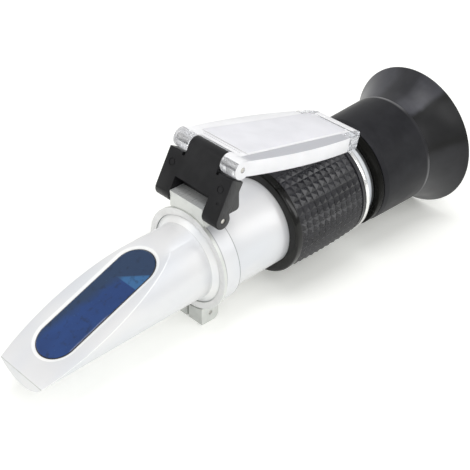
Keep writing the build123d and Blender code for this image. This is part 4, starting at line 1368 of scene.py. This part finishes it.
class BuildPlate(bpy.types.Operator):
    """Clear daylight plate with its frosted pad and two knuckles"""

    bl_idname = "refractometer.plate"
    bl_label = "Daylight plate"

    def outline(self):
        """The plate seen square on."""
        size = settings().plate
        hinge = (0, size.hinge_half)
        belly = (size.belly, size.belly_half)
        shoulder = (size.shoulder, size.shoulder_half)
        side = arc(hinge, belly, shoulder, 40)
        near = [Vector((p.x, -p.y)) for p in reversed(side)]
        ends = [Vector((size.length, size.end_half)), Vector((size.length, -size.end_half))]
        points = side + ends + near
        last = len(side) - 1
        round_at = {0, last, last + 1, last + 2, last + 3, len(points) - 1}
        radii = [size.corner_round if index in round_at else 0 for index in range(len(points))]
        return rounded(points, radii, 5)

    def pad(self):
        """The field inside the rim."""
        size = settings().plate
        points = [
            (size.pad_start, -size.pad_start_half),
            (size.pad_end, -size.pad_end_half),
            (size.pad_end, size.pad_end_half),
            (size.pad_start, size.pad_start_half),
        ]
        return rounded(points, [0, size.pad_corner, size.pad_corner, 0], 8)

    def heights(self):
        """The rim's outer edge, its land and the panel's underside, above the pin."""
        size = settings().plate
        land = size.pad_face - size.pad_raise
        return land - size.rim_depth, land, size.pad_face - size.panel

    def divide(self, plate):
        """Splits the faces where the finish changes in the middle of one."""
        size = settings().plate
        place = plate_matrix()
        along, across = Vector((1, 0, 0)), Vector((0, 1, 0))
        splits = (
            (along * size.clear_from, along),
            (across * size.pad_end_half, across),
            (across * -size.pad_end_half, across),
        )
        with edited(plate) as bm:
            for point, normal in splits:
                bmesh.ops.bisect_plane(
                    bm,
                    geom=bm.verts[:] + bm.edges[:] + bm.faces[:],
                    plane_co=place @ point,
                    plane_no=place.to_3x3() @ normal,
                )

    def finish_of(self, face):
        """Name of one face's finish."""
        size = settings().plate
        back = plate_matrix().inverted()
        spot, normal = back @ face.center, back.to_3x3() @ face.normal
        foot, land, ceiling = self.heights()
        beside_pad = size.pad_start < spot.x < size.pad_end
        inside = beside_pad and abs(spot.y) < size.pad_start_half
        flat = abs(normal.z) > 0.95
        if inside and flat and min(abs(spot.z - size.pad_face), abs(spot.z - ceiling)) < 0.1 * MM:
            return "frosted_panel"
        milky = spot.x < size.clear_from
        on_top = spot.z > land - size.edge * 1.1
        behind_hinge = size.pad_start < spot.x
        milky_land = milky or abs(spot.y) < size.pad_end_half
        milky_side = milky and abs(spot.y) > size.shoulder_half - 1 * MM
        frosted = (
            milky_side and abs(normal.y) > 0.8,
            milky and on_top and spot.y < 0,
            milky and inside and foot + 0.3 * MM < spot.z < ceiling,
            on_top and 0 < spot.x < size.pad_start,
            on_top and flat and behind_hinge and milky_land,
            beside_pad and not flat and spot.z > land + 0.05 * MM,
        )
        if any(frosted):
            return "frosted_rim"
        if math.hypot(spot.x, spot.z) < size.knuckle_radius * 1.02:
            return "knuckle_clear"
        return "clear_acrylic"

    def execute(self, context):
        size = settings().plate
        place = plate_matrix()
        foot, land, ceiling = self.heights()
        plate = extruded("daylight_plate_panel", self.outline(), foot, land, place)
        soften(plate, size.edge)
        cut(plate, extruded("hollow", self.pad(), foot - OVERCUT, ceiling, place))
        pad = extruded("pad", self.pad(), size.pad_face - size.panel / 2, size.pad_face, place)
        fuse(plate, soften(pad, 0.12 * MM, 2))
        ridges = ((size.ridge_at, size.ridge_half), (size.end_ridge_at, size.end_ridge_half))
        for along, half in ridges:
            width = size.ridge_width / 2
            corners = rectangle((along - width, along + width), (-half, half))
            crest = land + size.ridge_height
            ridge = extruded("ridge", corners, land - 0.5 * MM, crest, place)
            fuse(plate, soften(ridge, 0.1 * MM, 2))
        pin = pinned(settings().hinge.pin_spacing, 0)
        inner, outer = size.knuckle_inner, size.knuckle_outer
        for low, high in ((-outer, -inner), (inner, outer)):
            fuse(plate, cross_rod("knuckle", pin, size.knuckle_radius, low, high, 64, 0.25 * MM))
        cut(plate, cross_rod("relief", pin, size.relief, -inner, inner, 64))
        cut(plate, cross_rod("bore", pin, size.bore, -PIERCE, PIERCE, 32))
        start, end = 2.5 * MM, 60 * MM  # from the grip's front to past the plate's free end
        cut(plate, revolved("grip room", stepped(start, size.grip_relief, end, 0)))
        self.divide(plate)
        dress(plate, "plate", ["daylight_plate"], "clear_acrylic", self.finish_of)
        return {"FINISHED"}


class BuildTube(bpy.types.Operator):
    """Bare tube, black trim ring and the bright ring behind the grip"""

    bl_idname = "refractometer.tube"
    bl_label = "Tube and rings"

    def ring_finish(self, face):
        """Name of one face's finish on the bright ring."""
        on_neck = face.center.x > settings().tube.lip_rear + 0.3 * MM
        return "bright_neck" if on_neck else "bright_aluminium"

    def execute(self, context):
        size = settings().tube
        outside = (size.front, size.radius, size.grip_front, size.seat)
        inside = (size.grip_rear, size.rear_bore, size.rear_bore_front, size.bore)
        radii = [0, 0.3 * MM, 0, 0.2 * MM, 0.2 * MM, 0, 0, 0]
        tube = revolved("main_tube", rounded(stepped(*outside, *inside), radii))
        hole_heights = (5 * MM, 20 * MM)  # through the tube's top wall only
        hole = circle((size.calibration_x, 0), size.bush_hole)
        cut(tube, extruded("bush hole", hole, *hole_heights))
        dress(tube, "root", ["main_barrel"], "satin_aluminium")
        section = stepped(0, size.trim_radius, size.trim_width, size.radius + FIT_GAP)
        radii = [0.2 * MM, size.trim_round, 0.15 * MM, 0]
        trim = revolved("trim_ring", rounded(section, radii, 6))
        dress(trim, "root", ["front_trim_ring"], "gloss_black")
        lip = (size.lip_front, size.lip_radius, size.lip_rear)
        neck = (size.neck_radius, size.neck_rear, size.neck_bore)
        section = stepped(size.spigot_front, size.spigot_radius, *lip, *neck)
        radii = [0, 0, 0, 0.2 * MM, 0.25 * MM, 0.25 * MM, 0.2 * MM, 0]
        bright = revolved("bright_ring", rounded(section, radii))
        dress(bright, "root", ["rear_ring"], "bright_aluminium", self.ring_finish)
        return {"FINISHED"}


class BuildSpring(bpy.types.Operator):
    """Leaf spring under the lens carrier, which the calibration screw lowers"""

    bl_idname = "refractometer.spring"
    bl_label = "Carrier spring"

    def execute(self, context):
        size = settings().tube
        x, half = size.calibration_x, size.spring_span / 2
        foot = size.spring_gap - math.sqrt(size.bore**2 - (size.spring_width / 2) ** 2)
        crown = -size.carrier_radius - size.spring_gap
        inner = half - size.spring_foot
        outline = arc((x - half, foot), (x, crown), (x + half, foot), 32)
        outline += arc((x + inner, foot), (x, crown - size.spring_leaf), (x - inner, foot), 32)
        spring = cross_body("carrier_leaf_spring", outline, size.spring_width / 2)
        dress(spring, "root", ["carrier_spring"], "steel")
        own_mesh(spring)
        return {"FINISHED"}


class BuildGrip(bpy.types.Operator):
    """Rubber grip, knurled with small diamond pyramids"""

    bl_idname = "refractometer.grip"
    bl_label = "Knurled grip"

    CROWN_STEPS = 200

    def execute(self, context):
        size = settings().tube
        reach = size.grip_rear - size.grip_front
        crown = arc(
            (size.grip_front, size.grip_end),
            ((size.grip_front + size.grip_rear) / 2, size.grip_crown),
            (size.grip_rear, size.grip_end),
            self.CROWN_STEPS,
        )

        def top_radius(x):
            """Radius of the pyramids' tips."""
            return crown[round((x - size.grip_front) / reach * self.CROWN_STEPS)].y

        around, rows = size.knurl_around, size.knurl_rings
        turns = full_turn(around)
        first = size.grip_front + size.knurl_margin
        pitch = (reach - size.knurl_margin - size.knurl_rear_margin) / rows
        last = first + rows * pitch
        blunt = size.knurl_blunt / pitch / 2  # of a pitch
        wide = 2 * math.pi * blunt / around
        bm = bmesh.new()
        starts = [first + row * pitch for row in range(rows + 1)]
        valleys = [ring(bm, x, top_radius(x) - size.knurl_height, turns) for x in starts]
        for row in range(rows):
            x = first + (row + 0.5) * pitch
            radius = top_radius(x)
            for column in range(around):
                following = (column + 1) % around
                foot = [valleys[row][column], valleys[row][following]]
                foot += [valleys[row + 1][following], valleys[row + 1][column]]
                turn = 2 * math.pi * (column + 0.5) / around
                tip = ring(bm, x - blunt * pitch, radius, (turn - wide, turn + wide))
                tip += ring(bm, x + blunt * pitch, radius, (turn + wide, turn - wide))
                skin(bm, foot, tip)
                bm.faces.new(tip)
        inside = size.seat + FIT_GAP
        plain = size.knurl_height * 0.35  # how far the plain margins lie below the tips
        margin = 0.12 * MM  # slope between the margins and the knurl
        front = ring(bm, size.grip_front, inside, turns)
        skin(
            bm,
            front,
            ring(bm, size.grip_front, size.grip_end - plain, turns),
            ring(bm, first - margin, top_radius(first) - plain, turns),
            valleys[0],
        )
        rear = ring(bm, size.grip_rear, inside, turns)
        skin(
            bm,
            valleys[-1],
            ring(bm, last + margin, top_radius(last) - plain, turns),
            ring(bm, size.grip_rear, size.grip_end - plain, turns),
            rear,
            front,
        )
        dress(piece("knurled_grip", bm), "root", ["grip_sleeve"], "grip_rubber", limit=15)
        return {"FINISHED"}


class BuildEyepiece(bpy.types.Operator):
    """Focusing bead with its skirt, and the flared rubber eyecup"""

    bl_idname = "refractometer.eyepiece"
    bl_label = "Eyepiece and eyecup"

    def shell(self):
        """Section of the focusing shell, and the rounding of its corners."""
        size = settings().eyepiece
        outside = (size.bead_front, size.bead_radius, size.bead_rear, size.shell_radius)
        seat = (size.shell_rear, size.lens_radius)
        stop = (size.stop_rear, size.stop_radius, size.stop_front, size.lens_tube)
        section = stepped(*outside, *seat, *stop, size.slot_end, size.shell_bore)
        radii = [0.3 * MM, size.bead_round, size.bead_round, 0, 0.2 * MM, 0.2 * MM]
        return section, radii + [0] * (len(section) - len(radii))

    def cup(self):
        """Section of the eyecup, and the rounding of its corners."""
        size = settings().eyepiece
        lip_front = size.shell_rear + FIT_GAP
        lip_back = lip_front + size.lip_thickness
        inner = size.shell_radius + FIT_GAP
        front = size.bead_rear + FIT_GAP
        foot = (size.waist, size.waist_radius - size.waist_step)
        outer_corner = size.rim_radius + size.rim_round * 0.8
        flare = bowed(foot, (size.rim, outer_corner), size.hollow)
        rim_inner = size.rim_radius - size.rim_width
        cup = bowed((size.rim, rim_inner), (lip_back, size.throat), -size.hollow)
        section = [
            (lip_back, size.neck),
            (lip_front, size.neck),
            (lip_front, inner),
            (front, inner),
            (front, size.sleeve_front),
            (front + size.chamfer, size.sleeve_radius),
            (size.waist - size.waist_bead, size.waist_radius),
            (size.waist, size.waist_radius),
        ]
        radii = [0.4 * MM, 0.3 * MM, 0, 0, 0.15 * MM, 0.6 * MM, 0, size.waist_step * 0.8]
        radii += [0] * (len(flare) - 1) + [size.rim_round, 0.35 * MM] + [0] * (len(cup) - 1)
        return section + [tuple(point) for point in flare + cup], radii

    def cup_finish(self, face):
        """Name of one face's finish."""
        size = settings().eyepiece
        if face.center.x < size.waist - size.waist_bead - 0.01 * MM:
            return "eyecup_rubber"
        return "waist_bead" if face.center.x < size.waist + 0.01 * MM else "flare_rubber"

    def execute(self, context):
        shell = revolved("focusing_bead", rounded(*self.shell(), 6))
        dress(shell, "eyepiece", ["eyepiece_shell"], "gloss_black", lambda face: "bead_black")
        eyecup = revolved("eyecup_flare", rounded(*self.cup(), 5))
        dress(eyecup, "eyepiece", ["eyecup"], "eyecup_rubber", self.cup_finish)
        return {"FINISHED"}


class FinishCarriedNodes(bpy.types.Operator):
    """Finishes of the small and inner parts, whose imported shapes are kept"""

    bl_idname = "refractometer.kept_parts"
    bl_label = "Kept parts"

    def execute(self, context):
        slots = {entry["node"]: entry["material_slot"] for entry in frame["record"]["subparts"]}
        for name, part in frame["nodes"].items():
            part.data.materials.clear()
            part.data.materials.append(finish(slots[name]))
        return {"FINISHED"}


class BuildStage(bpy.types.Operator):
    """Pale floor, soft lamps and the camera"""

    bl_idname = "refractometer.stage"
    bl_label = "Floor, lamps and camera"

    # each lamp's place in metres, the sides of its softbox and its power in watts
    LAMPS = {
        "key_lamp": ((-0.55, 0.35, 0.50), (0.45, 0.45), 0.65),
        "front_lamp": ((-0.26, -0.53, 0.55), (0.16, 0.50), 1.15),
        "side_lamp": ((0.45, -0.54, 0.38), (0.12, 0.50), 0.7),
        "top_lamp": ((0.0, -0.05, 0.95), (0.20, 0.45), 2.2),
    }

    def add_lamp(self, name, position, sides, power):
        """A softbox that faces the middle of the floor."""
        data = bpy.data.lights.new(name, "AREA")
        data.shape = "RECTANGLE"
        data.size, data.size_y = sides
        data.energy = power
        lamp = bpy.data.objects.new(name, data)
        lamp.location = position
        lamp.rotation_euler = (-Vector(position)).to_track_quat("-Z", "Y").to_euler()
        bpy.context.scene.collection.objects.link(lamp)

    def add_floor(self):
        """A wide floor, a little brighter to the eye and in reflections than its own light."""
        bm = bmesh.new()
        bmesh.ops.create_grid(bm, x_segments=8, y_segments=8, size=2.0)
        floor = piece("studio_floor", bm)
        material = bpy.data.materials.new("pale_floor")
        material.use_nodes = True
        tree = material.node_tree
        tree.nodes.clear()
        pale = (*settings().finish.floor, 1)
        lit = node(tree, "BsdfDiffuse", {"Color": pale}).outputs[0]
        seen = node(tree, "BsdfDiffuse", {"Color": (1.0, 1.0, 0.98, 1)}).outputs[0]
        glow = node(tree, "Emission", {"Color": (0.98, 1, 0.93, 1), "Strength": 0.20}).outputs[0]
        bright = node(tree, "AddShader", {0: seen, 1: glow}).outputs[0]
        rays = node(tree, "LightPath").outputs
        direct = maths(tree, "MAXIMUM", rays["Is Camera Ray"], rays["Is Glossy Ray"])
        shown = maths(tree, "MAXIMUM", direct, rays["Is Transmission Ray"])
        mixed = node(tree, "MixShader", {0: shown, 1: lit, 2: bright}).outputs[0]
        node(tree, "OutputMaterial", {"Surface": mixed})
        floor.data.materials.append(material)

    def light_world(self):
        """White to the eye and through glass, and soft bands of grey in what metal reflects."""
        world = bpy.data.worlds.new("studio")
        bpy.context.scene.world = world
        world.use_nodes = True
        tree = world.node_tree
        tree.nodes.clear()
        rays = node(tree, "LightPath").outputs
        direction = node(tree, "TexCoord").outputs["Generated"]
        height = node(tree, "SeparateXYZ", {"Vector": direction}).outputs["Z"]
        bands = levels(tree, graded(tree, height, -1.0, 1.0), BAND_STOPS, "B_SPLINE")
        level = node(tree, "Mix", {0: rays["Is Glossy Ray"], 2: SOFT_LEVEL, 3: bands}).outputs[0]
        shown = maths(tree, "MAXIMUM", rays["Is Camera Ray"], rays["Is Transmission Ray"])
        strength = node(tree, "Mix", {0: shown, 2: level, 3: 1.0}).outputs[0]
        sky = node(tree, "Background", {"Color": (1, 1, 1, 1), "Strength": strength}).outputs[0]
        node(tree, "OutputWorld", {"Surface": sky})

    def add_camera(self):
        """A camera that turns about a point of the tube's own frame."""
        size = settings().stage
        turn, rise = size.azimuth, size.elevation
        level = math.cos(rise)
        right = Vector((math.cos(turn), math.sin(turn), 0))
        back = Vector((level * math.sin(turn), -level * math.cos(turn), math.sin(rise)))
        up = back.cross(right)
        place = Vector(size.target) + back * size.distance
        axes = Matrix((right, up, back)).transposed().to_4x4()
        data = bpy.data.cameras.new("studio_camera")
        data.lens = size.lens
        data.sensor_width = 36
        data.clip_start = 0.01
        data.clip_end = 20
        camera = bpy.data.objects.new("studio_camera", data)
        camera.matrix_world = BENCH @ Matrix.Translation(place) @ axes
        bpy.context.scene.collection.objects.link(camera)
        bpy.context.scene.camera = camera

    def execute(self, context):
        self.add_floor()
        self.light_world()
        for name, values in self.LAMPS.items():
            self.add_lamp(name, *values)
        self.add_camera()
        context.scene.view_settings.view_transform = "Standard"
        return {"FINISHED"}


# ---- panel and registration ---------------------------------------------------------------------
class Refractometer(bpy.types.PropertyGroup):
    """Everything that the panel shows."""

    head: bpy.props.PointerProperty(type=HeadSizes)
    prism: bpy.props.PointerProperty(type=PrismSizes)
    collar: bpy.props.PointerProperty(type=CollarSizes)
    hinge: bpy.props.PointerProperty(type=HingeSizes)
    plate: bpy.props.PointerProperty(type=PlateSizes)
    tube: bpy.props.PointerProperty(type=TubeSizes)
    eyepiece: bpy.props.PointerProperty(type=EyepieceSizes)
    finish: bpy.props.PointerProperty(type=FinishColours)
    stage: bpy.props.PointerProperty(type=StageSizes)


OPERATORS = (
    BuildStage,
    FinishCarriedNodes,
    BuildHead,
    BuildPrism,
    BuildCollar,
    BuildBracket,
    BuildPlate,
    BuildTube,
    BuildSpring,
    BuildGrip,
    BuildEyepiece,
)


class RefractometerPanel(bpy.types.Panel):
    """Buttons that build the instrument, and its sizes and colours"""

    bl_idname = "VIEW3D_PT_refractometer"
    bl_label = "Refractometer"
    bl_space_type = "VIEW_3D"
    bl_region_type = "UI"
    bl_category = "Refractometer"

    def draw(self, context):
        for operator in OPERATORS:
            self.layout.operator(operator.bl_idname)
        for group in settings().bl_rna.properties:
            if group.type == "POINTER" and group.identifier != "rna_type":
                rows = self.layout.box()
                rows.label(text=group.fixed_type.name)
                values = getattr(settings(), group.identifier)
                for value in values.bl_rna.properties:
                    if value.identifier not in ("rna_type", "name"):
                        rows.prop(values, value.identifier)


GROUPS = (
    HeadSizes,
    PrismSizes,
    CollarSizes,
    HingeSizes,
    PlateSizes,
    TubeSizes,
    EyepieceSizes,
    FinishColours,
    StageSizes,
    Refractometer,
)


def register():
    """Adds the classes and the scene's settings."""
    for cls in GROUPS + OPERATORS + (RefractometerPanel,):
        bpy.utils.register_class(cls)
    bpy.types.Scene.refractometer = bpy.props.PointerProperty(type=Refractometer)


def unregister():
    """Takes them away again."""
    del bpy.types.Scene.refractometer
    for cls in reversed(GROUPS + OPERATORS + (RefractometerPanel,)):
        bpy.utils.unregister_class(cls)


def main():
    """Builds everything in order."""
    register()
    for operator in OPERATORS:
        group, name = operator.bl_idname.split(".")
        getattr(getattr(bpy.ops, group), name)()


if __name__ == "__main__":
    main()
